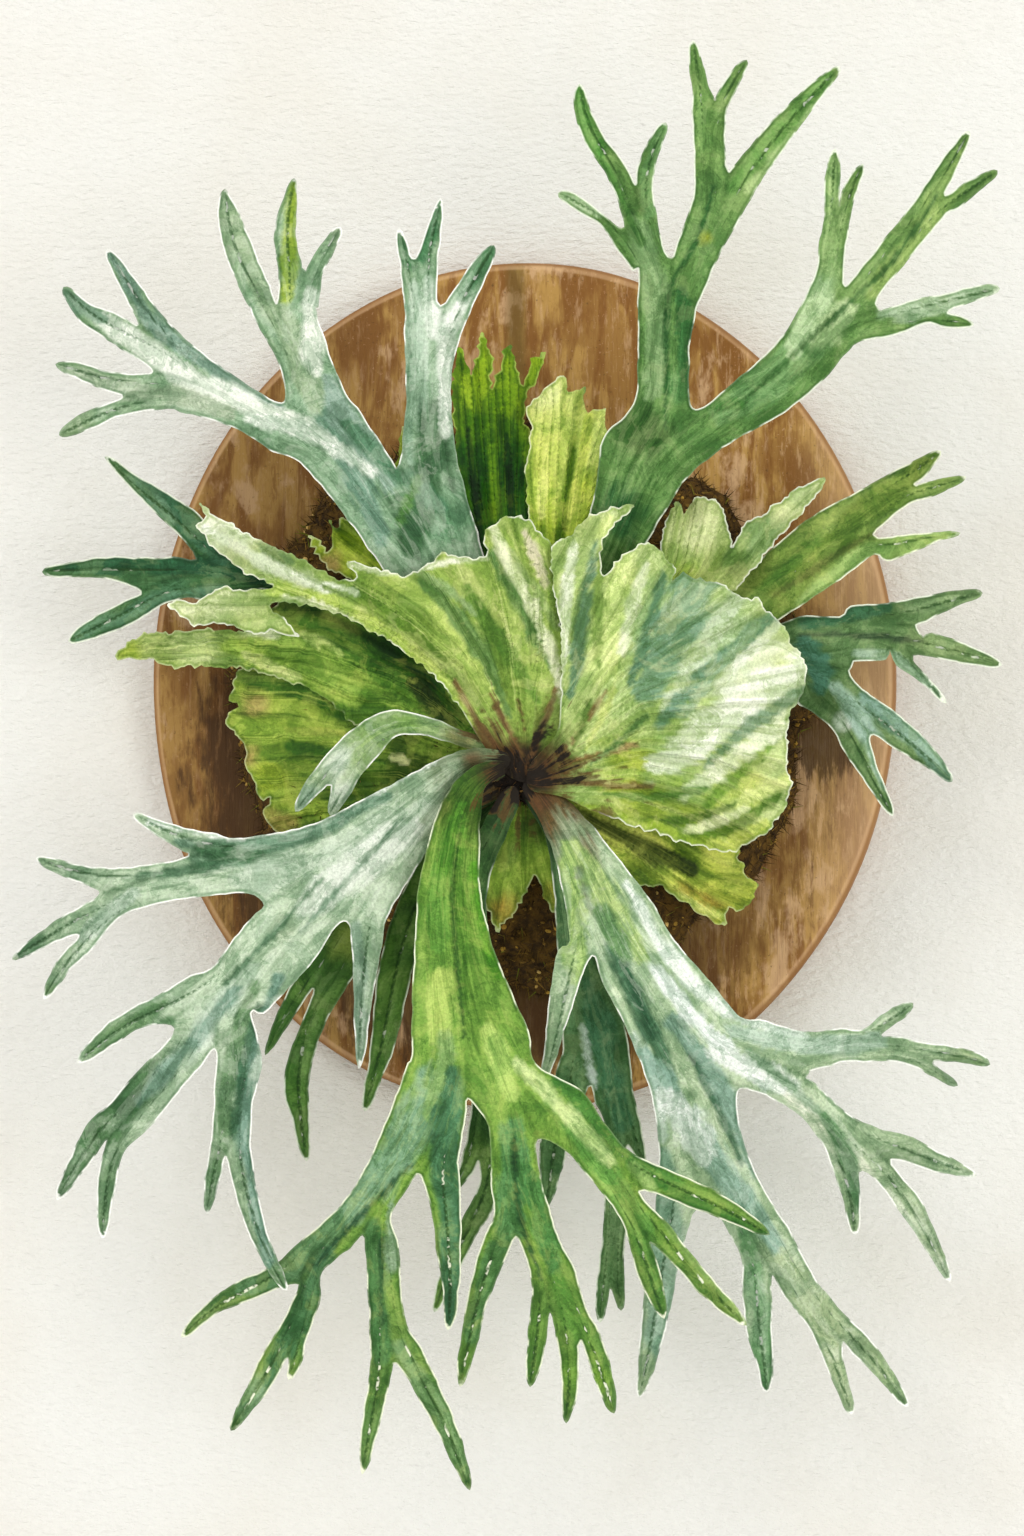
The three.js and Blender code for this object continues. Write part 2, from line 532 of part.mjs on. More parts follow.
const fronds = {
  frond_upper_left: {
    colour: 0x96b4a5,
    rise: [[0, 82.6], [60, 85.5], [118, 92], [175, 112], [240, 138], [330, 132]],
    trunk: arm([[0, -40, 6], [-12, -5, 10], [-30, 35, 19], [-45, 66, 25]],
      fork(-62, 111,
        arm([[-46, 111, 14], [-47, 140, 11.5], [-46.5, 165, 12.5]],
          fork(-39, 192,
            arm([[-51, 192, 8.5]],
              fork(-54, 215,
                arm([[-58, 215, 4]], [-62, 230]),
                arm([[-47.5, 215, 5.5]], [-41, 245]))),
            arm([[-31, 192, 6.5], [-22, 208, 5]], [-14, 221], 8))),
        arm([[-80, 103, 18], [-97, 125, 20]],
          fork(-120, 143,
            arm([[-104, 145, 15], [-110, 165, 13], [-118, 185, 15]],
              fork(-124, 193,
                arm([[-131, 193, 7], [-143, 215, 5.5], [-149, 235, 4.5]], [-150, 251], -10),
                arm([[-113, 193, 10.5]],
                  fork(-109, 209,
                    arm([[-117, 210, 6], [-119.5, 230, 5.3]], [-115, 256], 9),
                    arm([[-104.5, 209, 4.5], [-97, 222, 3.5]], [-91.5, 231])))), 5),
            arm([[-119.5, 129.5, 13], [-140, 140, 11], [-163, 151, 15]],
              fork(-187, 159,
                arm([[-177, 171, 8]],
                  fork(-194, 183,
                    arm([[-189, 187, 6], [-199, 203, 4.5]], [-210, 221], 8),
                    arm([[-206, 181, 7], [-221, 189.5, 5]], [-232, 202]))),
                arm([[-180, 149, 9]],
                  fork(-202, 146,
                    arm([[-212, 155, 4.8], [-225, 160, 4]], [-236, 163]),
                    arm([[-205, 141, 5], [-220, 134, 4.5]], [-234, 127], -8)))), -6))))),
  },
  frond_upper_right: {
    colour: 0x4f8a58,
    rise: [[0, 85.4], [60, 87], [125, 94], [190, 122], [290, 155], [400, 140]],
    trunk: arm([[4, -38, 6], [16, 0, 10], [30, 38, 14], [45, 70, 15], [55, 95, 19], [63, 115, 24]],
      fork(87, 138,
        arm([[70, 140, 14], [71, 165, 13], [73, 190, 15], [76, 205, 18]],
          fork(75, 214,
            arm([[63, 214, 10]],
              fork(50, 229,
                arm([[47, 230, 6], [40, 236, 4.5], [28, 242, 3.5]], [18, 247], -8),
                arm([[58, 240, 9]],
                  fork(57, 251,
                    arm([[48, 257, 5.5], [37, 273, 5], [30.5, 288, 4]], [29, 302], 10),
                    arm([[62, 258, 4.5], [68, 274, 3.4]], [72.5, 282]))))),
            arm([[88, 217, 11], [97.5, 238.5, 13]],
              fork(104, 257,
                arm([[94.5, 260, 8], [94, 285, 8.5]],
                  fork(97, 293,
                    arm([[90, 298, 4.5], [87.5, 310, 3.4]], [86, 323], 8),
                    arm([[102, 295, 4], [107, 304, 3.4]], [113, 313]))),
                arm([[112, 254, 8], [128, 275, 6.8], [142, 291, 5.2], [150.5, 300, 3.8]],
                  [159.5, 309], -10))))),
        arm([[100, 133, 13], [120, 145, 14], [138, 160, 15], [150, 175, 16]],
          fork(162, 199,
            arm([[154, 205, 7], [156, 222, 6.8], [158, 233, 6.6]],
              fork(159, 239,
                arm([[155.5, 250, 3.8]], [157, 268], 7),
                arm([[164, 246, 3.5]], [171, 260]))),
            arm([[165, 183, 13]],
              fork(179, 187,
                arm([[172, 198, 8], [185, 214, 8], [199, 231, 8], [206, 240, 8.5]],
                  fork(212, 244,
                    arm([[211, 254, 5], [218, 266, 3.5]], [224, 276]),
                    arm([[216, 241, 4.5], [227, 249, 3.5]], [238, 256])), 6),
                arm([[185, 181, 7], [200, 186, 6.5]],
                  fork(213, 185,
                    arm([[215, 191, 4], [228, 195, 3.5]], [239, 197]),
                    arm([[214, 181, 3.5]], [226, 179])), -8))))))),
  },
  frond_mid_left: {
    colour: 0x3c6e50,
    rise: [[0, 79.8], [40, 81], [70, 82.6], [110, 83.5], [180, 82], [210, 85], [260, 102]],
    trunk: arm([[-6, -42, 4], [-24, -8, 4.5], [-46, 22, 5], [-76, 41, 5], [-106, 50, 5.5], [-134, 55, 6.5],
        [-155, 57, 13]],
      fork(-166, 68,
        arm([[-168, 79, 9], [-185, 93, 7], [-200, 104, 5]], [-211, 116], 12),
        arm([[-172, 55, 11]],
          fork(-192.5, 48,
            arm([[-190, 58.5, 6.5], [-210, 60, 5.5], [-230, 59, 3.5]], [-242.5, 58], 6),
            arm([[-183, 47, 6], [-198, 38, 6], [-215, 30, 5]], [-229, 23], -6))))),
  },
  frond_right_lime: {
    colour: 0x96af64,
    rise: [[0, 88.4], [80, 88], [140, 87], [190, 97], [260, 118]],
    trunk: arm([[6, -40, 5], [50, -2, 8], [90, 24, 11], [118, 42, 14], [135, 55, 16], [155, 70, 17],
        [168, 78, 16]],
      fork(178, 73,
        arm([[178, 90, 10], [190, 98, 9.5]],
          fork(197, 99,
            arm([[197, 106, 5]], [209.5, 116], 6),
            arm([[203, 97, 4.5], [212, 100, 3.4]], [222, 103]))),
        arm([[181, 68, 7], [195, 71, 5.5], [208, 75, 4]], [219, 75], -6))),
  },
  frond_right_teal: {
    colour: 0x50826e,
    rise: [[0, 80], [80, 81], [140, 82], [180, 88], [250, 80]],
    trunk: arm([[6, -46, 5], [60, -10, 7], [100, 6, 10], [122, 12, 14], [140, 16, 18], [148, 12, 24]],
      fork(164.5, 8,
        arm([[165, 25, 14], [181, 26, 14]],
          fork(197, 29,
            arm([[200, 37, 6.5], [215, 42, 4]], [230, 45], 6),
            arm([[192, 20, 9]],
              fork(195.5, 11.5,
                arm([[203, 19.5, 6], [218, 15.5, 5]], [239.5, 9]),
                arm([[190, 13, 5], [198, 7, 4.5], [206, -1, 3.5]], [212, -10], -6))))),
        arm([[155, -5, 13], [165, -15, 13]],
          fork(174.5, -26,
            arm([[180, -18, 7], [192, -28, 7], [204, -38, 4.5]], [214.6, -49]),
            arm([[167, -30, 7.5], [174, -45, 4.5]], [185, -66], -8))))),
  },
  frond_lower_left: {
    colour: 0xafc3b9,
    rise: [[0, 96], [40, 106], [110, 138], [200, 160], [285, 146], [360, 120]],
    trunk: arm([[-8, -38, 4], [-25, -36, 4.5], [-36, -44, 9], [-51, -59, 16], [-65, -72, 21],
        [-80, -86, 27]],
      fork(-130, -110,
        arm([[-110, -86, 15], [-140, -90, 14]],
          fork(-168, -85,
            arm([[-155, -80, 6], [-172, -76, 5.5], [-185, -70, 3.5]], [-196, -64], -8),
            arm([[-165, -97, 9], [-184, -99, 10]],
              fork(-213, -104,
                arm([[-208, -96, 5], [-222, -94, 4.5], [-235, -90, 3.4]], [-245, -86], 6),
                arm([[-207, -111, 6.5]],
                  fork(-223.5, -125,
                    arm([[-226, -118, 5], [-240, -126, 4]], [-257, -137]),
                    arm([[-219, -127, 5], [-231, -140, 4]], [-241, -157], -8))))))),
        arm([[-86, -95, 26], [-91, -102, 28]],
          fork(-87, -120,
            arm([[-77, -122, 8], [-80, -150, 6], [-81, -170, 4]], [-82, -192], -12),
            arm([[-120, -127, 19], [-132, -140, 18.5], [-143, -153, 17.5]],
              fork(-179, -169.5,
                arm([[-163, -152, 8], [-179, -161, 7.5], [-195, -167, 5.5], [-209, -176, 5]],
                  [-224, -189], 8),
                arm([[-153, -163, 17]],
                  fork(-154, -183,
                    arm([[-168, -182, 10.5], [-187, -203, 11.5], [-198, -216, 11.5]],
                      fork(-209, -227.5,
                        arm([[-213, -222, 6], [-223, -238, 4.5]], [-234, -258], -6),
                        arm([[-205, -232, 5], [-209, -250, 4.5]], [-211, -277], 6))),
                    arm([[-142, -185, 11.5], [-145, -208, 10], [-146, -226, 10]],
                      fork(-149, -236,
                        arm([[-153, -235, 4.5], [-156, -250, 3.4]], [-158, -264], -6),
                        arm([[-142, -237, 6.5], [-138, -255, 5.5], [-132, -275, 4.5], [-125, -290, 3.4]],
                          [-118, -302.5], 6))))))))))),
  },
  frond_curled: {
    colour: 0xbecdc3,
    rise: [[0, 89], [40, 94], [80, 102], [130, 92]],
    wave: 0.6,
    trunk: arm([[-8, -34, 3.5], [-32, -26, 4], [-50, -20, 5], [-65, -19, 7], [-77, -27, 9], [-88, -38, 10]],
      fork(-98, -50,
        arm([[-102, -49, 6]], [-114, -63], -6),
        arm([[-92, -55, 4.5]], [-96.5, -65]))),
  },
  frond_bottom_centre: {
    colour: 0x64a03c,
    rise: [[0, 97], [40, 116], [100, 158], [180, 185], [235, 172], [290, 135], [370, 105]],
    trunk: arm([[-10, -42, 4], [-22, -46, 6], [-30, -60, 10], [-34, -80, 13], [-36.5, -102, 15.5],
        [-35, -127, 19], [-31.5, -152, 24], [-26, -179, 30]],
      fork(-27, -207,
        arm([[-41, -193, 17], [-45, -208, 18], [-50, -225, 20]],
          fork(-51, -245,
            arm([[-41, -240, 9.5], [-38, -262, 7.5], [-36.5, -285, 6], [-35.5, -303, 4]], [-37, -322], 6),
            arm([[-66, -243, 12], [-76, -260, 12]],
              fork(-80, -275,
                arm([[-92, -274, 9.5], [-106, -286, 9.5]],
                  fork(-112, -299.5,
                    arm([[-122, -295, 6], [-140, -303, 5.5], [-156, -312, 3.5]], [-171, -326], -8),
                    arm([[-107, -305, 6.3], [-114, -322, 7.4]],
                      fork(-117.5, -336.5,
                        arm([[-113.5, -338, 2.8]], [-117, -347], 5),
                        arm([[-124.5, -338, 7], [-131.5, -349.5, 5.4], [-138.8, -361, 3.6]],
                          [-146, -372.5])))), -6),
                arm([[-70, -280, 8.5], [-69, -300, 8.5], [-67, -320, 9.5]],
                  fork(-63, -338.5,
                    arm([[-71, -345, 5.5], [-75, -365, 4.5]], [-80, -394], -6),
                    arm([[-56, -335, 7], [-47, -352, 6], [-37, -372, 5]], [-26, -401.5], 10))))))),
        arm([[-8, -197, 17]],
          fork(8, -227,
            arm([[-5, -220, 12], [-3.5, -245, 12.3], [-0.5, -262, 14]],
              fork(-3, -275.6,
                arm([[-11, -275, 7], [-17, -290, 6.5], [-23, -310, 5], [-27, -330, 4]], [-31, -350], -6),
                arm([[9, -278, 9.5], [15.5, -295, 11.2]],
                  fork(14, -313,
                    arm([[9, -312, 5], [7, -330, 4.5]], [4, -350], 6),
                    arm([[24, -311, 8]],
                      fork(29.5, -327,
                        arm([[23, -330, 5], [24, -348, 4]], [22, -368], -6),
                        arm([[35, -330, 6], [41, -346, 4.5]], [46, -363], 6))))))),
            arm([[20, -211, 13], [31, -225, 12], [44, -240, 12]],
              fork(61, -252,
                arm([[65, -245, 6], [85, -254, 6.5], [103, -262, 5]], [123.6, -274], 6),
                arm([[54, -260, 7.5]],
                  fork(64, -278,
                    arm([[69, -272, 5], [80.8, -287, 5], [94, -302, 4.6]], [112, -319], 8),
                    arm([[58, -276, 5], [64, -295, 5.5]], [71, -316], -4)))), 10))))),
  },
  frond_bottom_right: {
    colour: 0xa5be96,
    rise: [[0, 91.5], [50, 106], [120, 136], [175, 140], [235, 122], [330, 92]],
    trunk: arm([[4, -48, 5], [14, -60, 8], [26, -78, 12], [36, -98, 17], [45, -119, 23]],
      fork(33, -138,
        arm([[26, -134, 8], [22, -154, 8], [17, -178, 5.5]], [11, -200], -12),
        arm([[58, -138, 21], [73, -160, 24], [85, -180, 28]],
          fork(109, -202,
            arm([[85, -205, 20], [89, -228, 21]],
              fork(92, -260,
                arm([[76, -262, 9.5], [71, -285, 8], [67, -310, 7], [63, -335, 4.5]], [58.5, -355], -8),
                arm([[108, -255, 13], [121, -278, 14]],
                  fork(125, -294,
                    arm([[117, -300, 7.5], [118, -320, 6.5], [121, -338, 4]], [122, -352], -4),
                    arm([[137, -298, 9], [150, -315, 9]],
                      fork(160, -327,
                        arm([[168, -328, 5.5], [180, -342, 4]], [192, -359], 8),
                        arm([[155, -335, 5], [160, -350, 3.4]], [164, -363], -4))))))),
            arm([[114, -184, 18]],
              fork(142, -196,
                arm([[142, -183, 10], [160, -180, 8.5], [170, -180, 8]],
                  fork(179, -175,
                    arm([[182, -169, 5], [189, -163, 3.5]], [195, -159], 6),
                    arm([[188, -182, 6.5], [199, -185, 6.5]],
                      fork(205, -189,
                        arm([[212, -184, 4], [224, -186, 3.4]], [233, -189.5]),
                        arm([[207, -193, 3.5]], [217, -200], -5)))), 10),
                arm([[140, -205, 9], [155, -220, 9.5]],
                  fork(168, -243,
                    arm([[160, -240, 5.5], [164.5, -258, 4]], [166, -274], -6),
                    arm([[170, -228, 9.5]],
                      fork(184, -239,
                        arm([[190, -231, 6.5], [205, -237, 5]], [226, -244.5], 8),
                        arm([[181, -242, 7], [192, -258, 6], [203, -277, 4]], [213, -297]))))))))))),
  },
  under_frond_right: {
    colour: 0x3c694b,
    rise: [[0, 87], [60, 95], [130, 108], [200, 100], [280, 78]],
    trunk: arm([[4, -52, 5], [20, -80, 7], [28, -140, 10], [36, -175, 16]],
      fork(33, -201,
        arm([[24, -202, 9], [16, -230, 7]], [12, -262], -6),
        arm([[46, -205, 10], [50, -218, 9]],
          fork(53, -230,
            arm([[57, -227, 3.6]], [61, -240]),
            arm([[46.5, -242, 6], [47, -262, 6], [45, -285, 6]],
              fork(44, -301,
                arm([[40.5, -301, 3.4]], [39, -318]),
                arm([[48, -300, 3.2]], [49.5, -312]))))))),
  },
  under_frond_centre: {
    colour: 0x46784b,
    rise: [[0, 92], [60, 110], [110, 135], [180, 140], [230, 118], [270, 96]],
    trunk: arm([[-6, -56, 5], [-24, -100, 7], [-22, -150, 8], [-16, -200, 9]],
      fork(-22, -238,
        arm([[-27, -240, 4]], [-36, -254], -4),
        arm([[-17, -252, 5], [-27, -272, 5], [-36, -292, 4]], [-44, -313]))),
  },
  under_frond_left: {
    colour: 0x4b8250,
    rise: [[0, 88], [60, 98], [130, 115], [200, 100]],
    trunk: arm([[-10, -50, 5], [-40, -66, 6], [-62, -90, 8], [-80, -118, 10], [-95, -140, 12]],
      fork(-105, -152,
        arm([[-114, -156, 4.5]], [-129, -185], -5),
        arm([[-107, -166, 9], [-113, -195, 6.5], [-111, -218, 4]], [-108, -238]))),
  },
  under_frond_slim: {
    colour: 0x4b8250,
    rise: [[0, 84], [60, 92], [130, 105], [190, 88]],
    trunk: arm([[-8, -56, 4], [-38, -80, 6], [-55, -112, 8], [-64, -145, 8.5], [-69, -175, 6.5],
        [-74, -195, 4]],
      [-79, -213]),
  },
};

// Shield fronds

// A vein is a row of [x, z, depth] from the crown to the margin. Between veins the depth blends, and
// the pleats run along them.
function nearestOnVein(vein, x, z) {
  const best = { distance: Infinity, depth: 0, along: 0 };
  for (let index = 0; index + 1 < vein.length; index++) {
    const [x0, z0, d0] = vein[index];
    const [x1, z1, d1] = vein[index + 1];
    const length = (x1 - x0) ** 2 + (z1 - z0) ** 2;
    const t = THREE.MathUtils.clamp(((x - x0) * (x1 - x0) + (z - z0) * (z1 - z0)) / length, 0, 1);
    const distance = Math.hypot(x - x0 - t * (x1 - x0), z - z0 - t * (z1 - z0));
    if (distance < best.distance) {
      Object.assign(best, { distance, depth: d0 + t * (d1 - d0), along: (index + t) / (vein.length - 1) });
    }
  }
  return best;
}

function shieldDepth({ veins, pleats, pleatHeight, flutter = 0 }, x, z) {
  let weights = 0;
  let depth = 0;
  let place = 0;
  let along = 0;
  veins.forEach((vein, index) => {
    const near = nearestOnVein(vein, x, z);
    const weight = (near.distance + VEIN_SOFTNESS) ** -VEIN_FALL;
    weights += weight;
    depth += weight * near.depth;
    place += weight * index;
    along += weight * near.along;
  });
  const reach = along / weights;
  const fold = Math.cos((2 * Math.PI * pleats * place) / weights);
  const ripple = Math.sin(x * FLUTTER_ACROSS + z * FLUTTER_UP);
  return depth / weights + pleatHeight * reach * fold + flutter * reach ** 3 * ripple;
}

function makeShield(shield) {
  const rim = shield.rim.map(([x, z]) => new THREE.Vector2(x, z));
  const bounds = new THREE.Box2().setFromPoints(rim);
  const inner = [];
  const rowStep = SHIELD_MESH * Math.sin(Math.PI / 3);
  for (let z = bounds.min.y, row = 0; z < bounds.max.y; z += rowStep, row++) {
    for (let x = bounds.min.x + (row % 2) * (SHIELD_MESH / 2); x < bounds.max.x; x += SHIELD_MESH) {
      const point = new THREE.Vector2(x, z);
      if (isInside(x, z, rim) && distanceToRim(point, rim) > RIM_ROOM) inner.push(point);
    }
  }
  const depthAt = (point) => shieldDepth(shield, point.x, point.y);
  return largestBody(blade(rim, inner, depthAt, SHIELD_THICKNESS).subtract(crownRoom));
}

const shields = {
  shield_right_fan: {
    colour: 0xa5be6e,
    pleats: 2,
    pleatHeight: 2.2,
    flutter: 2,
    veins: [
      [[6, -34, 98], [16, 10, 107], [20, 50, 113], [38, 84, 109]],
      [[8, -36, 98], [32, 10, 111], [50, 45, 119], [62, 70, 114]],
      [[10, -38, 98], [50, 5, 117], [85, 30, 125], [108, 47, 117]],
      [[12, -42, 98], [60, -10, 119], [105, 0, 127], [141, 8, 113]],
      [[12, -46, 98], [60, -28, 118], [100, -30, 123], [134, -42, 109]],
      [[12, -50, 98], [55, -45, 113], [90, -55, 115], [125, -73, 102]],
      [[10, -54, 98], [45, -58, 107], [75, -70, 106], [105, -84, 95]],
    ],
    rim: [[4, -40], [17, -25], [19, -12], [20, 8], [19.5, 26], [16, 46], [15, 69], [23, 74.5], [33, 84],
      [43, 88], [56, 90], [50.5, 84], [45, 78], [40, 68], [39, 61], [41, 55], [49, 63.5], [55, 68],
      [61.5, 71], [66, 69.5], [70, 66], [74, 61], [77, 58], [76, 52.5], [81, 55], [91, 52.5], [102, 49],
      [111, 43], [118, 43], [122, 36], [127, 33], [133, 26], [135, 19.5], [139, 17], [142, 9], [142, 3],
      [139, -7], [134, -14], [133, -24], [133, -39], [135, -52], [132, -61], [127, -68.5], [122, -74],
      [112, -80], [105, -84], [85, -80], [60, -72], [38, -64], [20, -56], [4, -52]],
  },
  shield_left_sweep: {
    colour: 0xaabe64,
    pleats: 2,
    pleatHeight: 1.8,
    flutter: 1.5,
    veins: [
      [[4, -34, 94], [14, 10, 103], [15, 46, 108], [10, 68, 108]],
      [[2, -34, 94], [4, 15, 105], [2, 52, 109], [-6, 84, 104]],
      [[0, -35, 94], [-14, 12, 107], [-24, 42, 110], [-32, 64, 102]],
      [[-3, -36, 94], [-24, 10, 108], [-50, 38, 110], [-82, 60, 102]],
      [[-5, -37, 94], [-32, 4, 107], [-72, 36, 109], [-115, 58, 104], [-162, 92, 98]],
      [[-8, -38, 94], [-34, -2, 105], [-75, 28, 104], [-120, 40, 100], [-178, 41, 95]],
    ],
    rim: [[12, -36], [18.5, -22], [21, -12], [21.5, 10], [21, 26], [18, 46], [17, 66], [10, 76],
      [1, 84], [-8, 85], [-12, 82], [-17, 79.5], [-19, 76], [-19, 64], [-33, 65.5], [-40, 66],
      [-46, 62], [-53, 58], [-59, 55], [-72, 59], [-84.5, 62], [-88, 63], [-84.5, 55], [-92, 53],
      [-99, 57], [-111, 63], [-126, 70.5], [-142.6, 79], [-150, 84], [-154.5, 85.6], [-162.6, 92.7],
      [-160, 86], [-164, 81], [-157, 71.5], [-147, 63], [-136, 55], [-126, 50], [-140, 49], [-150, 50],
      [-158, 46], [-166, 43], [-173, 44.5], [-179, 41], [-172, 36], [-165, 31], [-150, 31], [-135, 27],
      [-125, 27], [-112, 25], [-119, 33], [-127, 39], [-122, 43], [-110, 41], [-92, 35], [-79, 29],
      [-65, 21], [-50, 10], [-40, 0], [-30, -13], [-22, -26], [-14, -36]],
  },
  shield_left_under: {
    colour: 0x7da046,
    pleats: 1.5,
    pleatHeight: 1.5,
    flutter: 1.5,
    veins: [
      [[-8, -36, 76.5], [-50, 2, 78], [-100, 24, 75], [-150, 28, 69], [-199, 22, 64]],
      [[-9, -38, 76.5], [-60, -4, 77], [-110, 12, 73], [-160, 19, 66], [-206, 15, 60]],
      [[-10, -40, 76.5], [-60, -14, 76], [-88, -16, 72], [-121, 3, 67], [-160, 10, 62], [-194, 14, 60]],
    ],
    rim: [[-6, -34], [-20, -15], [-33, -3], [-45, 9], [-60, 26], [-75, 37], [-92, 44], [-110, 46],
      [-122, 42], [-130, 35], [-136, 29], [-142.6, 28], [-160, 29], [-175, 28], [-187, 27], [-199, 22],
      [-206, 15], [-194.6, 14], [-186, 13], [-175, 10], [-160, 10], [-147, 9], [-134, 7.6], [-121, 3],
      [-110, 0], [-99, -6.5], [-90, -14], [-83, -20], [-72, -19], [-58, -18], [-40, -22], [-20, -34],
      [-8, -42]],
  },
  shield_left_back: {
    colour: 0x6e9632,
    pleats: 1.5,
    pleatHeight: 1.4,
    flutter: 1.6,
    veins: [
      [[-12, -40, 74], [-60, -12, 72], [-110, 5, 64], [-142, 7, 55]],
      [[-12, -44, 74], [-70, -25, 71], [-115, -15, 62], [-149, -14, 50]],
      [[-12, -48, 74], [-70, -38, 70], [-110, -36, 62], [-139, -38, 50]],
      [[-10, -52, 74], [-62, -50, 70], [-100, -53, 63], [-131, -58, 50]],
      [[-8, -56, 74], [-48, -60, 71], [-85, -68, 64], [-120, -76, 49]],
    ],
    rim: [[-10, -40], [-45, -12], [-90, 8], [-125, 12], [-142, 7.5], [-147, -5], [-144, -10],
      [-149.5, -14], [-147, -23], [-142, -26], [-138, -33], [-140, -39], [-135.5, -45.5], [-134, -52],
      [-130, -57], [-127, -56], [-130, -64], [-125, -72], [-112, -80], [-92, -78], [-70, -70],
      [-45, -64], [-12, -58]],
  },
  shield_top_dark: {
    colour: 0x2f6a18,
    pleats: 1,
    pleatHeight: 1.6,
    veins: [
      [[-5, -36, 75], [-14, 40, 75], [-25, 95, 70], [-31, 168, 58]],
      [[-2, -36, 75], [-7, 35, 76], [-14, 95, 71], [-19, 174, 60]],
      [[0, -36, 75], [-2, 35, 76], [-5, 95, 71], [-7, 168, 60]],
      [[2, -36, 75], [1, 35, 76], [1, 95, 71], [9, 164, 59]],
    ],
    rim: [[-8, -38], [-13, 20], [-22, 65], [-31, 100], [-35, 140], [-34, 160], [-31.5, 170], [-28, 163],
      [-25.5, 156], [-23, 165], [-20, 177], [-17.5, 171], [-14.5, 164], [-16, 154], [-15, 149],
      [-12, 157], [-8.5, 168], [-6, 170.5], [-3.5, 163], [-1, 154], [0.5, 151], [4, 160], [9.5, 167],
      [12, 164], [8, 155], [3, 146], [1, 135], [5, 118], [5, 80], [4, 30], [4, -38]],
  },
  shield_top_lime: {
    colour: 0xbed73c,
    pleats: 1,
    pleatHeight: 1.8,
    veins: [
      [[4, -36, 80], [8, 30, 81], [6, 75, 80], [4, 110, 77], [8, 142, 72]],
      [[6, -36, 80], [14, 30, 81], [17, 75, 80], [18, 115, 77], [20, 154, 70]],
      [[8, -36, 80], [20, 30, 81], [27, 75, 80], [34, 112, 77], [42, 136, 71]],
      [[10, -36, 80], [25, 30, 81], [35, 70, 80], [45, 98, 78], [51, 127, 72]],
    ],
    rim: [[2, -40], [4, 20], [4, 75], [2, 100], [3, 120], [5, 130], [1.5, 138], [4, 141], [10, 147],
      [15, 152], [20, 156], [22, 154], [22, 148], [29, 148], [32, 150], [31.5, 143], [33, 136],
      [38, 138], [42, 138.5], [41, 131], [42, 126.5], [48, 128], [51, 127], [54, 112], [48, 90],
      [38, 62], [27, 30], [14, -30], [8, -40]],
  },
  shield_jagged: {
    colour: 0xa0b43c,
    pleats: 1,
    pleatHeight: 1.5,
    veins: [
      [[-10, -34, 78.6], [-44, 14, 79], [-78, 52, 75], [-107, 74, 68]],
      [[-8, -34, 78.6], [-38, 25, 79], [-65, 72, 75], [-86, 90, 68]],
      [[-6, -34, 78.6], [-32, 30, 79], [-48, 80, 76], [-60, 128, 69]],
    ],
    rim: [[-12, -38], [-30, -6], [-60, 32], [-85, 52], [-98, 60], [-108, 75], [-101, 73], [-99, 67],
      [-95, 74], [-97, 83], [-93, 79], [-91, 85], [-84, 82], [-78, 96], [-71, 92], [-69, 112],
      [-64, 108], [-60, 130], [-54, 116], [-46, 112], [-38, 84], [-28, 44], [-17, 0], [-4, -38]],
  },
  shield_upper_right: {
    colour: 0x9bb45f,
    pleats: 1,
    pleatHeight: 1.5,
    flutter: 1.5,
    veins: [
      [[6, -38, 91], [40, 20, 93], [72, 58, 94], [78, 90, 90]],
      [[8, -38, 91], [48, 16, 93], [85, 58, 94], [92, 92, 89]],
      [[10, -40, 91], [60, 12, 93.5], [102, 54, 95], [130, 82, 98], [152, 102, 104]],
    ],
    rim: [[6, -42], [20, -10], [42, 30], [60, 46], [68, 60], [70, 76], [77, 91], [81, 85], [84, 92],
      [91, 94], [99, 90], [103, 79], [105, 68], [109, 77], [118, 84], [133, 94], [144, 101], [152, 102],
      [146, 93], [133, 78], [125, 69], [114, 55], [104, 44], [80, 20], [50, -6], [16, -42]],
  },
  shield_lower_right: {
    colour: 0x8ca537,
    pleats: 1,
    pleatHeight: 1.5,
    flutter: 1.4,
    veins: [
      [[8, -52, 82], [60, -76, 80], [95, -96, 74], [118, -101, 67]],
      [[6, -54, 82], [50, -80, 80], [80, -104, 72], [99, -118, 63]],
    ],
    rim: [[8, -50], [40, -56], [80, -66], [104, -76], [109, -86], [112, -95], [118, -99], [117, -105],
      [111, -112.5], [104, -112], [101, -120], [93, -117], [84, -111], [75.5, -105], [67, -101],
      [58, -100], [40, -88], [24, -72], [6, -56]],
  },
  shield_lower_centre: {
    colour: 0x649632,
    pleats: 1,
    pleatHeight: 1.5,
    flutter: 1.2,
    veins: [
      [[-2, -56, 79], [-8, -90, 78], [-13, -121, 70]],
      [[4, -56, 79], [10, -88, 78], [16, -114, 70]],
    ],
    rim: [[-10, -52], [-19, -66], [-22, -85], [-20, -102], [-17, -114], [-13, -123], [-9, -119],
      [-5, -116], [-1, -110], [3, -102], [6, -95], [9, -99], [11, -107], [17, -115], [21, -106],
      [24, -90], [22, -72], [12, -54]],
  },
};

// [colour, roughness, metalness] of the plain pieces
const WOOD = [0x8c5a37, 0.7, 0];
const PLATE_STEEL = [0xb4b4b0, 0.35, 1];
const SCREW_STEEL = [0x9a9a94, 0.3, 1];
const MOSS = [0x3a2616, 1, 0];
const FUR = [0x5f3c23, 0.95, 0];

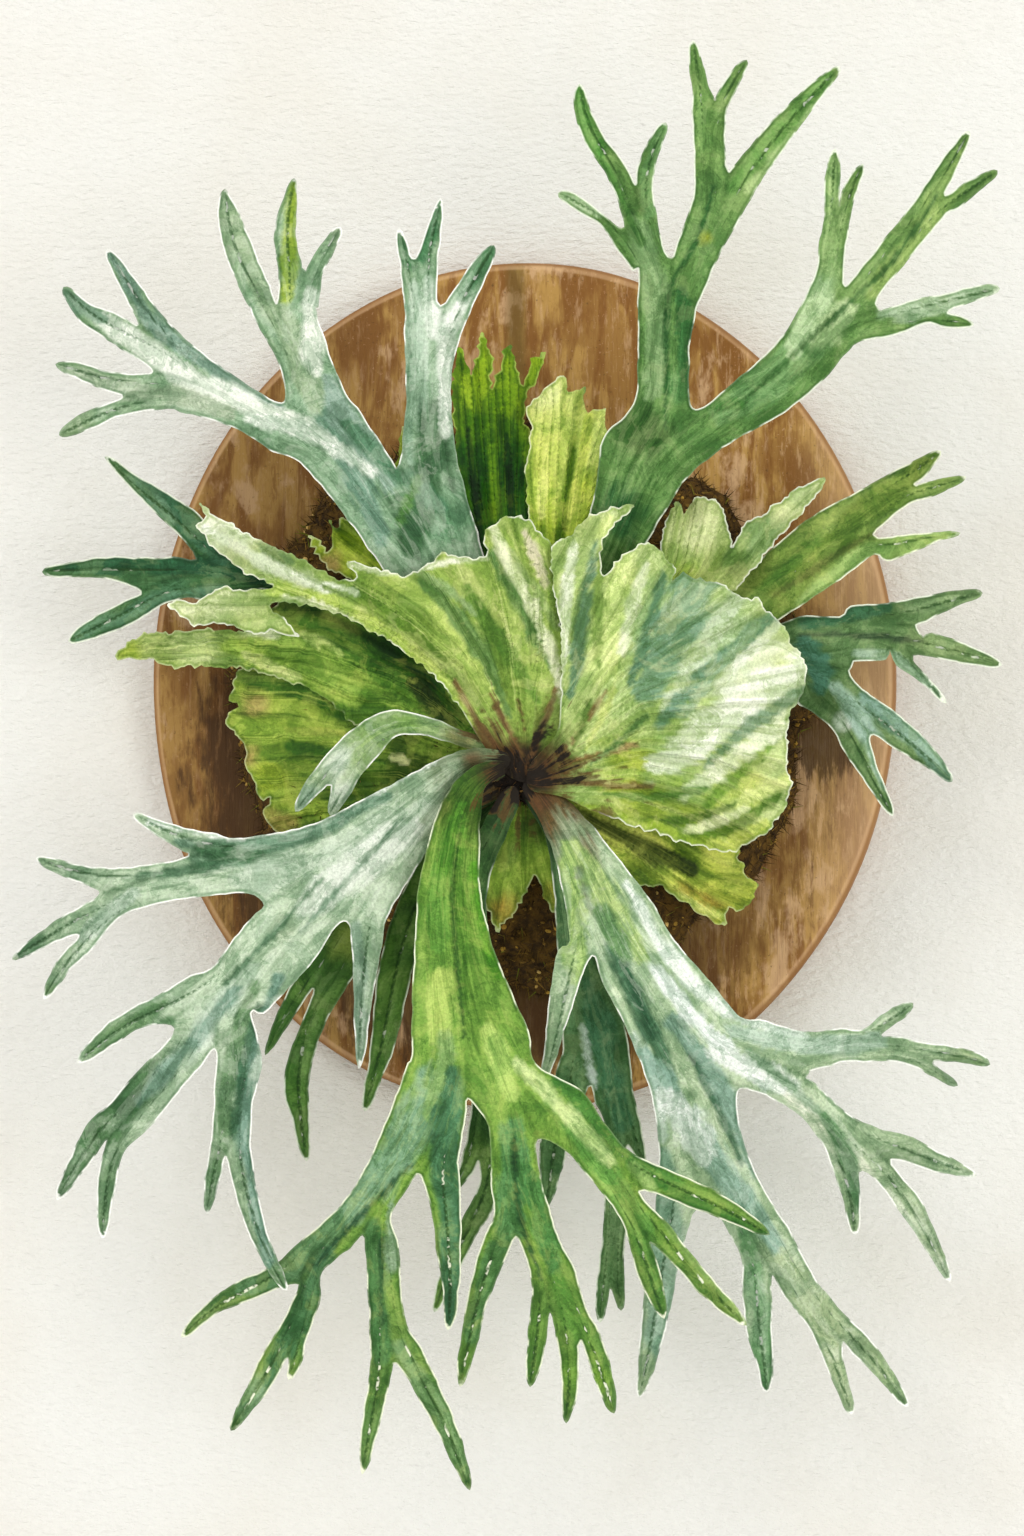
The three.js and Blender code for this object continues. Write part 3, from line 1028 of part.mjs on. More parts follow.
addNode("board", makeBoard().subtract(hangerRoom()), ...WOOD);
addNode("hanger_plate", makeHangerPlate(), ...PLATE_STEEL);
screwPlaces.forEach((place, index) => {
  addNode(`hanger_screw_${index + 1}`, makeScrew(place), ...SCREW_STEEL);
});
addNode("moss_mound", makeMound().subtract(crownRoom), ...MOSS);
addNode("rhizome_crown", makeCrown(), ...FUR);
for (const [name, shield] of Object.entries(shields)) {
  addNode(name, makeShield(shield), shield.colour, LEAF_ROUGHNESS);
}
for (const [name, frond] of Object.entries(fronds)) {
  addNode(name, makeFrond(frond), frond.colour, LEAF_ROUGHNESS);
}

export default part;
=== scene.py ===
"""Staghorn fern on an oval wooden plaque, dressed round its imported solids.

Metres, +Z up, and the front faces -Y. The leaf plans are drawn in millimetres on the plane of the
plaque's front face, as they look from EYE, and each point moves along its line of sight to its depth.
"""
import logging
import math
from dataclasses import dataclass, field, replace
from enum import Enum
from typing import Any, Mapping, Sequence

import bpy
import numpy as np
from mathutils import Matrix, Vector, geometry


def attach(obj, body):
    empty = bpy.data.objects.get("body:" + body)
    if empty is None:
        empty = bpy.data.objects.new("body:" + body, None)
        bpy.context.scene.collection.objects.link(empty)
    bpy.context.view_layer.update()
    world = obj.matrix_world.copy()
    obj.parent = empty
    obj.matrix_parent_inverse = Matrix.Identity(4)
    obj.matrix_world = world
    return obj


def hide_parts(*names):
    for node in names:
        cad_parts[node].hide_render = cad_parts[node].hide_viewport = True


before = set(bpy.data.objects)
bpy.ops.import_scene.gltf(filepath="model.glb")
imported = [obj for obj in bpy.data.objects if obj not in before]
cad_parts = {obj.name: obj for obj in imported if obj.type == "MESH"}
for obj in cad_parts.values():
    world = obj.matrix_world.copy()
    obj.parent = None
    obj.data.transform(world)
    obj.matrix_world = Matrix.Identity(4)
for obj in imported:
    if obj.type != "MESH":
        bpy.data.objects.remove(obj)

LOG = logging.getLogger("staghorn_fern")
BODY = "root"
MM = 0.001

Colour = tuple[float, float, float]
Rows = Sequence[Sequence[float]]
Array = np.ndarray

# In millimetres: where the picture was seen from, and the plane and the middle that leaves are drawn on.
EYE = np.array([250.0, -3200.0, -168.0])
FACE_DEPTH = 22.0
CROWN = np.array([0.0, -46.0])

# How much a patch or a band covers, the room that a fold of a shield takes up and its ribs, and the
# green that shows in a midrib.
PATCH_SHARE = 0.9
FOLD_WIDTH = 22.0
SHIELD_RIBS = 3.0
VEIN_COLOUR = 0x28401C


def tint(code: int) -> Colour:
    """Turns a colour as seen on a screen into the linear colour that shaders use.

    Args:
        code: Red, green and blue as one number of six hexadecimal digits.

    Returns:
        The linear colour, 0 to 1.
    """
    shares = ((code >> 16) / 255, (code >> 8 & 255) / 255, (code & 255) / 255)
    return tuple(((share + 0.055) / 1.055) ** 2.4 if share > 0.04 else share / 12.92 for share in shares)


# ---- Shader sums ----


class Expr:
    """A shader socket that takes part in sums written as Python."""

    def __init__(self, graph: "Graph", socket: bpy.types.NodeSocket) -> None:
        """Keeps the socket and the graph that it belongs to.

        Args:
            graph: The graph that adds nodes for sums.
            socket: The output socket.
        """
        self.graph, self.socket = graph, socket

    def __add__(self, other: "Expr | float") -> "Expr":
        """Sum of both."""
        return self.graph.math("ADD", self, other)

    def __sub__(self, other: "Expr | float") -> "Expr":
        """This less the other."""
        return self.graph.math("SUBTRACT", self, other)

    def __rsub__(self, other: "Expr | float") -> "Expr":
        """The other less this."""
        return self.graph.math("SUBTRACT", other, self)

    def __mul__(self, other: "Expr | float") -> "Expr":
        """Product of both."""
        return self.graph.math("MULTIPLY", self, other)

    def __truediv__(self, other: "Expr | float") -> "Expr":
        """This divided by the other."""
        return self.graph.math("DIVIDE", self, other)

    def __pow__(self, other: "Expr | float") -> "Expr":
        """This to the power of the other."""
        return self.graph.math("POWER", self, other)

    __radd__, __rmul__ = __add__, __mul__


class Graph:
    """Adds nodes to one tree."""

    def __init__(self, tree: bpy.types.NodeTree) -> None:
        """Keeps the tree.

        Args:
            tree: The tree that nodes are added to.
        """
        self.tree = tree

    def node(self, kind: str, settings: Mapping[str, Any] | None = None,
             inputs: Mapping[Any, Any] | None = None) -> bpy.types.Node:
        """Adds one node.

        Args:
            kind: The node's type.
            settings: Its own settings, set before its sockets. "stops" fills a colour ramp.
            inputs: Values or links, by socket name or number.

        Returns:
            The node.
        """
        made = self.tree.nodes.new(kind)
        for key, value in (settings or {}).items():
            if key == "stops":
                for place, colour in value[1:-1]:
                    made.color_ramp.elements.new(place)
                for element, (place, colour) in zip(made.color_ramp.elements, value):
                    element.position, element.color = place, (*colour, 1.0)
            else:
                setattr(made, key, value)
        for key, value in (inputs or {}).items():
            socket = made.inputs[key]
            if isinstance(value, Expr):
                self.tree.links.new(value.socket, socket)
            elif socket.type == "RGBA":
                socket.default_value = (*(tint(value) if isinstance(value, int) else value), 1.0)
            else:
                socket.default_value = value
        return made

    def out(self, kind: str, settings: Mapping[str, Any] | None = None,
            inputs: Mapping[Any, Any] | None = None, socket: int | str = 0) -> Expr:
        """Adds one node and gives one of its outputs, by name or number."""
        return Expr(self, self.node(kind, settings, inputs).outputs[socket])

    def math(self, operation: str, first: Any, second: Any = 0.0) -> Expr:
        """One sum on numbers."""
        return self.out("ShaderNodeMath", {"operation": operation}, {0: first, 1: second})

    def mix(self, share: Any, under: Any, over: Any, blend: str = "MIX") -> Expr:
        """Lays one colour over another.

        Args:
            share: How much of the upper colour shows.
            under: The lower colour.
            over: The upper colour.
            blend: The way of blending.

        Returns:
            The mixed colour.
        """
        settings = {"data_type": "RGBA", "blend_type": blend, "clamp_factor": True}
        return self.out("ShaderNodeMix", settings, {0: share, 6: under, 7: over}, 2)

    def step(self, value: Expr, low: float, high: float, start: float = 0.0, end: float = 1.0) -> Expr:
        """A soft step from start to end as the value goes from low to high."""
        sockets = {0: value, 1: low, 2: high, 3: start, 4: end}
        return self.out("ShaderNodeMapRange", {"interpolation_type": "SMOOTHSTEP"}, sockets)

    def lay(self, colour: Any, *layers: tuple[Expr, float, float, Any, Any], blend: str = "MIX") -> Any:
        """Lays colours over another, each where a field steps from low to high.

        Args:
            colour: The lowest colour.
            layers: Rows of field, low, high, share and colour.
            blend: The way of blending.

        Returns:
            The mixed colour.
        """
        for field_, low, high, share, over in layers:
            colour = self.mix(self.step(field_, low, high) * share, colour, over, blend)
        return colour

    def noise(self, vector: Expr, scale: float | Sequence[float], detail: float = 3.0,
              roughness: float = 0.55, twist: float = 0.0, shift: Sequence[float] = (0, 0, 0)) -> Expr:
        """Soft noise.

        Args:
            vector: Where it is read.
            scale: How many blots there are in each unit, for all axes or for each.
            detail: How many octaves it has.
            roughness: How strong the fine ones are.
            twist: How far it is distorted.
            shift: Moves it, so that two noises differ.

        Returns:
            A field of about 0.3 to 0.7.
        """
        shares = tuple(scale) if isinstance(scale, Sequence) else (scale,) * 3
        read = self.out("ShaderNodeVectorMath", {"operation": "MULTIPLY_ADD"},
                        {0: vector, 1: shares, 2: tuple(shift)})
        return self.out("ShaderNodeTexNoise", None, {"Vector": read, "Scale": 1.0, "Detail": detail,
                                                     "Roughness": roughness, "Distortion": twist})

    def attribute(self, name: str, socket: str) -> Expr:
        """An attribute that the mesh carries: Fac, Vector or Color."""
        return self.out("ShaderNodeAttribute", {"attribute_name": name}, None, socket)

    def place(self) -> Expr:
        """The place on the object in millimetres."""
        where = self.out("ShaderNodeTexCoord", None, None, "Object")
        return self.out("ShaderNodeVectorMath", {"operation": "SCALE"}, {0: where, "Scale": 1 / MM})

    def axes(self, vector: Expr) -> tuple[Expr, Expr, Expr]:
        """The three numbers of a vector."""
        parts = self.node("ShaderNodeSeparateXYZ", None, {0: vector})
        return tuple(Expr(self, socket) for socket in parts.outputs)

    def relief(self, height: Expr, reach: float) -> Expr:
        """The normal of a surface that rises with a height, by a reach in metres."""
        return self.out("ShaderNodeBump", None, {"Strength": 1.0, "Distance": reach, "Height": height})

    def surface(self, **sockets: Any) -> Expr:
        """A plain surface with these sockets set, their names written with _ for a space."""
        inputs = {name.replace("_", " "): value for name, value in sockets.items()}
        return self.out("ShaderNodeBsdfPrincipled", None, inputs)


def bare_graph(owner: bpy.types.Material | bpy.types.World) -> Graph:
    """Empties the node tree of a material or a world and gives its graph."""
    owner.use_nodes = True
    owner.node_tree.nodes.clear()
    return Graph(owner.node_tree)


@dataclass(frozen=True)
class Painted:
    """A finish's colour, roughness, height, its reach in millimetres, and its constant sockets."""

    colour: Expr
    rough: Expr
    height: Expr
    reach: float
    constants: Mapping[str, float]


@dataclass(frozen=True)
class Finish:
    """A surface whose colour, gloss and relief come from a few fields."""

    name: str

    def material(self) -> bpy.types.Material:
        """Makes the material of this finish.

        Returns:
            The material.
        """
        made = bpy.data.materials.new(self.name)
        graph = bare_graph(made)
        look = self.paint(graph)
        skin = graph.surface(Base_Color=look.colour, Roughness=look.rough,
                             Normal=graph.relief(look.height, look.reach * MM), **look.constants)
        graph.node("ShaderNodeOutputMaterial", None, {"Surface": skin})
        return made

    def paint(self, graph: Graph) -> Painted:
        """Adds the nodes of this finish.

        Args:
            graph: The material's graph.

        Returns:
            What its surface shows.
        """
        raise NotImplementedError


@dataclass(frozen=True)
class LeafFinish(Finish):
    """Leaf skin over the wash that the mesh carries: pools, strokes, veins, painted shade and light, and a
    pale margin painted as a highlight.

    Its sizes are in millimetres. A share says how much of a colour shows.
    """

    slot: str
    light: int
    shade: int
    margin: int
    light_share: float = 0.4
    shade_share: float = 0.5
    stroke_width: float = 3.2
    stroke_length: float = 46.0
    vein_share: float = 0.85
    margin_share: float = 0.9
    relief: float = 0.5
    fine_share: float = 0.2
    side_share: float = 0.45
    side_room: float = 6.0
    root_reach: float = 0.45
    margin_width: float = 0.8
    dash_share: float = 0.85
    tide_share: float = 0.4
    grain_share: float = 0.5
    grain_dark: float = 0.4
    brightness: float = 1.24
    gloss: float = 0.18
    bark: int = 0x54381A
    dark_base_and_shade: int = 0x120C05

    def paint(self, graph: Graph) -> Painted:
        """Adds the nodes of a leaf's skin."""
        where, flow = graph.place(), graph.attribute("flow", "Vector")
        edge, vein, crease, single = (graph.attribute(name, "Fac")
                                      for name in ("edge", "vein", "crease", "single"))
        from_root, across, _ = graph.axes(flow)
        long, wide = 1 / self.stroke_length, 1 / self.stroke_width
        pool = graph.noise(where, 0.055, 4, 0.62, 0.6, (3, 1, 7))
        blot = graph.noise(flow, (long * 1.7, wide * 0.35, 0.7), 4, 0.6, 0.7, (5, 2, 1))
        broad = graph.noise(flow, (long, wide * 0.55, 0.4), 3, 0.55, 0.3, (1, 8, 3))
        streak = graph.noise(flow, (long * 1.3, wide * 2.0, 0.9), 2, 0.6, 0.2, (7, 3, 9))
        fine = graph.noise(where, 0.7, 4, 0.75)

        def darken(colour: Expr, share: Expr) -> Expr:
            """Lays the shade over the colour."""
            return graph.mix(share, colour, self.shade, "MULTIPLY")

        washed = graph.lay(graph.attribute("wash", "Color"), *(
            (field_, low, high, share * self.shade_share, self.shade)
            for field_, low, high, share in ((pool, 0.54, 0.58, 0.8), (blot, 0.46, 0.41, 1.0),
                                             (broad, 0.45, 0.4, 0.7), (streak, 0.44, 0.34, self.fine_share))
        ), blend="MULTIPLY")
        clear = graph.step(from_root, 14, 46) * self.light_share
        colour = graph.lay(washed, *(
            (field_, low, high, clear * share, self.light)
            for field_, low, high, share in ((pool, 0.45, 0.4, 0.8), (blot, 0.55, 0.6, 1.0),
                                             (broad, 0.56, 0.61, 0.7), (streak, 0.58, 0.68, self.fine_share))
        ), blend="SCREEN")
        for field_, tide in ((pool, 0.54), (blot, 0.46)):
            ring = graph.step(graph.math("ABSOLUTE", field_ - tide), 0.02, 0.004)
            colour = darken(colour, ring * self.tide_share)

        # One side of each fold lies in shade, the other in light.
        saw = graph.math("FRACT", across / self.side_room + 8.0)
        half = graph.step(saw, 0.44, 0.02) * single * graph.step(pool, 0.36, 0.5) * graph.step(edge, 0.6, 1.6)
        colour = darken(colour, half * self.side_share)
        far = graph.step(saw, 0.62, 0.98) * single * graph.step(blot, 0.4, 0.52)
        colour = graph.mix(far * self.side_share * 0.5, colour, self.light, "SCREEN")

        # The midrib: a dark line, broken by pale dashes of painted glint, and painted shade in each crease.
        line = graph.step(vein + fine * 0.5, 1.5, 0.6) * graph.step(broad, 0.34, 0.44)
        dark = (line * self.vein_share + crease * 0.8) * graph.step(edge, 0.8, 3.0)
        colour = darken(colour, dark)
        colour = graph.mix(line * dark * 0.4, colour, VEIN_COLOUR)
        dash = graph.step(graph.noise(flow, (0.12, 0.3, 1), 2, shift=(2, 6, 4)), 0.57, 0.61)
        glint = dash * graph.step(vein + fine * 0.6, 1.35, 0.75) * graph.step(edge, 2.0, 3.4)
        colour = graph.mix(glint * graph.step(from_root, 24, 60) * self.dash_share, colour, self.margin)

        # Paint that pooled inside the rim, and the pale and broken rim itself, painted as a highlight along
        # the edge.
        pooled = graph.step(edge, 2.6, 1.3) * graph.step(blot, 0.42, 0.54)
        colour = darken(colour, pooled * 0.6)
        broken = graph.step(graph.noise(where, 0.045, 3, shift=(9, 2, 5)), 0.44, 0.52)
        rim = graph.step(edge + fine * 0.6, self.margin_width + 0.55, self.margin_width * 0.6)
        rim = rim * graph.step(from_root, 22, 50) * self.margin_share * (0.08 + 0.92 * broken)
        colour = graph.mix(rim, colour, self.margin)

        # Brown bark and then black towards the root, with ragged ends; the black is partly the dark base and
        # partly painted shade in the crown.
        reach = self.root_reach
        ragged = from_root - (pool * 0.7 + blot * 0.6 + broad * 0.7 - 1.0) * (170 * reach)
        dark_base_and_shade_reach = from_root - (pool + broad - 1.0) * (80 * reach)
        colour = graph.lay(colour, (ragged, 30 * reach, 12 * reach, 0.75, self.bark),
                           (dark_base_and_shade_reach, 17 * reach, 8 * reach, 0.95, self.dark_base_and_shade))
        stops = ((0.36, (self.grain_dark,) * 3), (0.62, (1.0,) * 3))
        grain = graph.out("ShaderNodeValToRGB", {"stops": stops}, {0: fine})
        colour = graph.mix(self.grain_share, colour, grain, "MULTIPLY")
        colour = graph.out("ShaderNodeHueSaturation", None, {
            "Hue": 0.475 + 0.05 * pool, "Saturation": 1.0, "Value": self.brightness, "Color": colour})
        height = streak * self.fine_share * 0.4 + broad * 0.5 + fine * 0.2 - line * 0.5 - crease * 0.6
        return Painted(colour, 0.55 + 0.16 * blot, height, self.relief, {"Specular IOR Level": self.gloss})


@dataclass(frozen=True)
class ShieldFinish(LeafFinish):
    """The skin of a shield: longer and broader strokes, a shade on each fold and no dashes."""

    light_share: float = 0.5
    stroke_width: float = 4.2
    stroke_length: float = 60.0
    vein_share: float = 0.2
    margin_share: float = 0.5
    relief: float = 0.8
    fine_share: float = 0.25
    side_share: float = 0.5
    side_room: float = FOLD_WIDTH / SHIELD_RIBS
    dash_share: float = 0.0


@dataclass(frozen=True)
class WoodFinish(Finish):
    """Stained wood in uneven washes, darker round the moss from damp and painted shade, with a thin pale rim
    as a painted highlight and its edge and sides in painted shade.
    """

    base: int
    dark: int
    light: int
    stain_and_shade: int
    damp: int
    half_width: float
    half_height: float
    bed_radius: float

    def paint(self, graph: Graph) -> Painted:
        """Adds the nodes of the plaque's wood."""
        where = graph.place()
        across, deep, up = graph.axes(where)
        grain = graph.noise(where, (0.6, 0.2, 0.03), 5, 0.65, 0.4)
        bands = graph.noise(where, (0.07, 0.05, 0.016), 4, 0.6, 0.5, (4, 7, 1))
        marks = graph.noise(where, (0.26, 0.1, 0.05), 5, 0.7, 0.1, (9, 3, 5))
        mottle = graph.noise(where, (0.04, 0.03, 0.022), 5, 0.66, 0.15, (2, 2, 8))
        specks = graph.noise(where, 0.5, 3, 0.6, shift=(1, 4, 2))
        sunny = graph.step(across, -150, 120)
        colour = graph.lay(
            graph.mix(graph.step(bands, 0.42, 0.56), self.dark, self.base),
            (mottle, 0.5, 0.4, 0.6, self.dark), (mottle, 0.53, 0.62, 0.7, self.light),
            (grain, 0.48, 0.36, 0.4, self.dark), (marks, 0.52, 0.68, sunny * 0.3 + 0.2, self.light),
            (marks, 0.44, 0.35, 0.6, self.dark), (specks, 0.6, 0.7, 0.35, self.light),
            (specks, 0.38, 0.3, 0.5, self.stain_and_shade), (across, 130, 180, 0.6, self.light),
            (sunny, 0.5, 0.0, 0.35, self.stain_and_shade))

        # Darker wood round the moss, partly damp and partly painted shade under the plant: a wide ring,
        # weaker at the right, and one spot beside the fan.
        def away(x: float, z: float) -> Expr:
            """The distance from a place on the front."""
            return graph.math("SQRT", (across - x) ** 2 + (up - z) ** 2)

        reach = away(0, -42) + (mottle + marks - 1.0) * 70
        damp_and_shade_ring = graph.step(reach, self.bed_radius + 24, self.bed_radius)
        damp_and_shade_ring = damp_and_shade_ring * (1 - 0.6 * graph.step(across, 60, 130))
        damp_and_shade_spot = graph.step(away(149, -30) + (marks - 0.5) * 40, 22, 12)
        front = graph.step(deep, -15, -20)
        colour = graph.mix(graph.math("MAXIMUM", damp_and_shade_ring, damp_and_shade_spot) * front * 0.8, colour, self.stain_and_shade)

        # A run of damp below the top, the pale ring inside the rim as a painted highlight on the rounding,
        # and the dark edge, with the sides and back darkened as painted shade.
        run = graph.step(graph.math("ABSOLUTE", across + 1.5 + marks * 3), 7.5, 2.0)
        colour = graph.mix(run * graph.step(up, 110, 160) * 0.6, colour, self.damp)
        oval = graph.math("SQRT", (across / self.half_width) ** 2 + (up / self.half_height) ** 2)
        edge_highlight = graph.step(oval, 0.979, 0.985) * graph.step(deep, -18.5, -20)
        colour = graph.mix(edge_highlight * 0.4, colour, self.light)
        colour = graph.lay(colour, (deep, -21.6, -20, 0.75, self.dark))
        return Painted(colour, 0.62 + 0.2 * grain, grain * 0.7 + marks * 0.5, 0.7,
                       {"Specular IOR Level": 0.3})


@dataclass(frozen=True)
class GrowthFinish(Finish):
    """Damp peat, moss and fur: each fibre's tone picks its colour."""

    dark: int
    middle: int
    bright: int
    accent: int
    size: float = 5.0

    def paint(self, graph: Graph) -> Painted:
        """Adds the nodes of moss, peat or fur."""
        where, tone = graph.place(), graph.attribute("tone", "Fac")
        lumps = graph.noise(where, 1 / self.size, 5, 0.65)
        fine = graph.noise(where, 1.6, 3, 0.6)
        colour = graph.lay(
            self.dark, (lumps, 0.35, 0.65, 1.0, self.middle), (fine, 0.6, 0.75, 0.5, self.bright),
            (tone, 0.72, 0.86, 1.0, self.bright), (tone, 0.9, 0.97, 1.0, self.accent))
        return Painted(colour, 0.8 + 0.15 * fine, lumps + fine * 0.4, 0.8, {"Specular IOR Level": 0.2})


@dataclass(frozen=True)
class SteelFinish(Finish):
    """Zinc plated steel with a faint spangle and rubbed marks."""

    base: int
    dull: int

    def paint(self, graph: Graph) -> Painted:
        """Adds the nodes of plated steel."""
        where = graph.place()
        spangle = graph.noise(where, 0.6, 4, 0.6)
        rub = graph.noise(where, (0.3, 0.3, 2.5), 3, 0.6)
        colour = graph.lay(self.base, (spangle, 0.4, 0.65, 1.0, self.dull))
        return Painted(colour, 0.3 + 0.25 * rub, spangle, 0.05, {"Metallic": 1.0})


# ---- Meshes ----


def in_rows(values: Sequence[float], width: int) -> Array:
    """Parts a flat list of numbers into rows."""
    return np.array(values, float).reshape(-1, width)


def cross(one: Array, two: Array) -> Any:
    """How far the second way turns left of the first, for one pair or for rows of pairs."""
    return one[..., 0] * two[..., 1] - one[..., 1] * two[..., 0]


def from_crown(flat: Array) -> Array:
    """The distance of each point from the crown, as drawn."""
    return np.hypot(*(flat - CROWN).T)


def seen(flat: Array, depth: Array) -> Array:
    """Moves drawn points along their lines of sight to their depths.

    Args:
        flat: Drawn places, one row of x and z for each.
        depth: How far in front of the wall each point ends.

    Returns:
        The points, in millimetres.
    """
    share = (depth - FACE_DEPTH) / (-EYE[1] - FACE_DEPTH)
    return np.column_stack([flat[:, 0] + (EYE[0] - flat[:, 0]) * share, -depth,
                            flat[:, 1] + (EYE[2] - flat[:, 1]) * share])


def level(knots: Sequence[float], places: Array) -> Array:
    """Smooth curve through knots, level before the first and after the last.

    Args:
        knots: Each knot's place and value.
        places: Where the curve is read.

    Returns:
        The values there.
    """
    xs, ys = in_rows(knots, 2).T
    order = np.arange(len(xs))
    before, after = np.maximum(order - 1, 0), np.minimum(order + 1, len(xs) - 1)
    slope = (ys[after] - ys[before]) / (xs[after] - xs[before])
    held = np.clip(places, xs[0], xs[-1])
    index = np.clip(np.searchsorted(xs, held, side="right") - 1, 0, len(xs) - 2)
    span = xs[index + 1] - xs[index]
    t = (held - xs[index]) / span
    return (ys[index] * (2 * t**3 - 3 * t**2 + 1) + slope[index] * span * (t**3 - 2 * t**2 + t)
            + ys[index + 1] * (3 * t**2 - 2 * t**3) + slope[index + 1] * span * (t**3 - t**2))


def ripple(flat: Array, size: float, seed: int) -> Array:
    """Soft uneven waves of about the given size, between -1 and 1.

    Args:
        flat: Places, one row of x and z for each.
        size: The length of a wave in millimetres.
        seed: Picks the waves.

    Returns:
        The height at each place.
    """
    rng = np.random.default_rng(seed)
    turns, starts = rng.uniform(0, math.tau, 6), rng.uniform(0, math.tau, 6)
    sizes = size * rng.uniform(0.6, 1.6, 6)
    ways = np.stack([np.cos(turns), np.sin(turns)]) / sizes
    return np.sin(math.tau * (flat @ ways) + starts).sum(1) / 3.2


@dataclass
class Nearest:
    """The nearest segment to each point, the share along it, the distance and the side."""

    index: Array
    share: Array
    distance: Array
    side: Array


def nearest(points: Array, starts: Array, ends: Array) -> Nearest:
    """Finds the nearest of some segments for each point.

    Args:
        points: Places, one row each.
        starts: Where the segments start.
        ends: Where they end.

    Returns:
        What is nearest to each point.
    """
    parts = []
    way = ends - starts
    length = np.maximum((way**2).sum(1), 1e-9)
    for chunk in np.array_split(points, max(1, len(points) * len(starts) // 2_000_000)):
        off = chunk[:, None, :] - starts[None]
        share = np.clip((off * way).sum(2) / length, 0, 1)
        gap = np.hypot(off[..., 0] - share * way[:, 0], off[..., 1] - share * way[:, 1])
        best = gap.argmin(1)
        rows = np.arange(len(chunk))
        turn = cross(way[best], off[rows, best])
        parts.append((best, share[rows, best], gap[rows, best], np.where(turn > 0, 1.0, -1.0)))
    return Nearest(*(np.concatenate(column) for column in zip(*parts)))


def nearest_on(points: Array, line: Array) -> Nearest:
    """What is nearest to each point on a line whose rows start with x and z."""
    return nearest(points, line[:-1, :2], line[1:, :2])


def inside(points: Array, rim: Array) -> Array:
    """Says which points lie inside a closed outline.

    Args:
        points: Places, one row each.
        rim: The outline's corners in order.

    Returns:
        True for each point inside.
    """
    after = np.roll(rim, -1, 0)
    held = []
    for chunk in np.array_split(points, max(1, len(points) * len(rim) // 2_000_000)):
        x, z = chunk[:, :1], chunk[:, 1:]
        crosses = (rim[:, 1] > z) != (after[:, 1] > z)
        rise = np.where(after[:, 1] == rim[:, 1], 1.0, after[:, 1] - rim[:, 1])
        edge = (after[:, 0] - rim[:, 0]) * (z - rim[:, 1]) / rise + rim[:, 0]
        held.append((crosses & (x < edge)).sum(1) % 2)
    return np.concatenate(held) == 1


def bend(before: Array, start: Array, end: Array, after: Array, t: float) -> Array:
    """A point of the even spline from start to end, at a share t."""
    return 0.5 * (2 * start + (end - before) * t + (2 * before - 5 * start + 4 * end - after) * t**2
                  + (3 * (start - end) + after - before) * t**3)


def relax(values: Array, edges: Array, rounds: int) -> Array:
    """Evens out values over the neighbours of each point.

    Args:
        values: One value for each point.
        edges: Rows of two neighbours.
        rounds: How often.

    Returns:
        The evened values.
    """
    one, two = edges.T
    count = np.bincount(edges.ravel(), minlength=len(values))
    for _ in range(rounds):
        total = np.bincount(one, values[two], len(values)) + np.bincount(two, values[one], len(values))
        values = 0.5 * values + 0.5 * total / np.maximum(count, 1)
    return values


def linked(name: str, data: Any) -> bpy.types.Object:
    """Makes an object of some data and links it to the scene."""
    made = bpy.data.objects.new(name, data)
    bpy.context.scene.collection.objects.link(made)
    return made


def applied(made: bpy.types.Object, modifier: bpy.types.Modifier) -> bpy.types.Mesh:
    """The mesh that a modifier makes, with the modifier taken off."""
    mesh = bpy.data.meshes.new_from_object(made.evaluated_get(bpy.context.evaluated_depsgraph_get()))
    made.modifiers.remove(modifier)
    return mesh


def mesh_object(name: str, points: Array, faces: Sequence[Sequence[int]],
                material: bpy.types.Material) -> bpy.types.Object:
    """Makes a mesh from points in millimetres.

    Args:
        name: The object's name.
        points: Its corners.
        faces: Corner numbers of each face, outwards.
        material: Its material.

    Returns:
        The object, smooth shaded and linked to the scene.
    """
    mesh = bpy.data.meshes.new(name)
    mesh.from_pydata((points * MM).tolist(), [], faces)
    mesh.polygons.foreach_set("use_smooth", [True] * len(mesh.polygons))
    mesh.materials.append(material)
    return linked(name, mesh)


def carry(made: bpy.types.Object, name: str, kind: str, values: Array) -> None:
    """Stores values on a mesh's points.

    Args:
        made: The object.
        name: The attribute's name.
        kind: FLOAT, FLOAT_VECTOR or FLOAT_COLOR.
        values: One row for each point.
    """
    store = made.data.attributes.new(name, kind, "POINT")
    key = {"FLOAT": "value", "FLOAT_VECTOR": "vector", "FLOAT_COLOR": "color"}[kind]
    store.data.foreach_set(key, np.ascontiguousarray(values, np.float32).ravel())


def ride(made: bpy.types.Object, slot: str, *nodes: str) -> None:
    """Lets a piece ride on the body, in place of the named solids."""
    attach(made, BODY)
    if nodes:
        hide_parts(*nodes)
    LOG.info("%s: %d faces", made.name, len(made.data.polygons))


# ---- Leaves ----


@dataclass(frozen=True)
class LeafLook:
    """A leaf's colours from root to tip, its soft patches and bands and the finish over them.

    Each patch is a row of x, z, reach, colour and, where it isn't PATCH_SHARE, its share. Each band is
    a row of half width, colour and the x and z of each of its knots. Some patches and bands are painted
    highlights and painted shade, the rest the leaf's own colours.
    """

    root: int
    body: int
    tip: int
    finish: LeafFinish
    patches: Rows = ()
    bands: Rows = ()
    root_end: float = 0.16
    tip_start: float = 0.62
    under: int = 0x96A87E


@dataclass
class Skin:
    """A leaf's flat mesh, with what each point knows about the leaf."""

    flat: Array
    faces: Array
    edges: Array
    edge: Array
    rim: Array


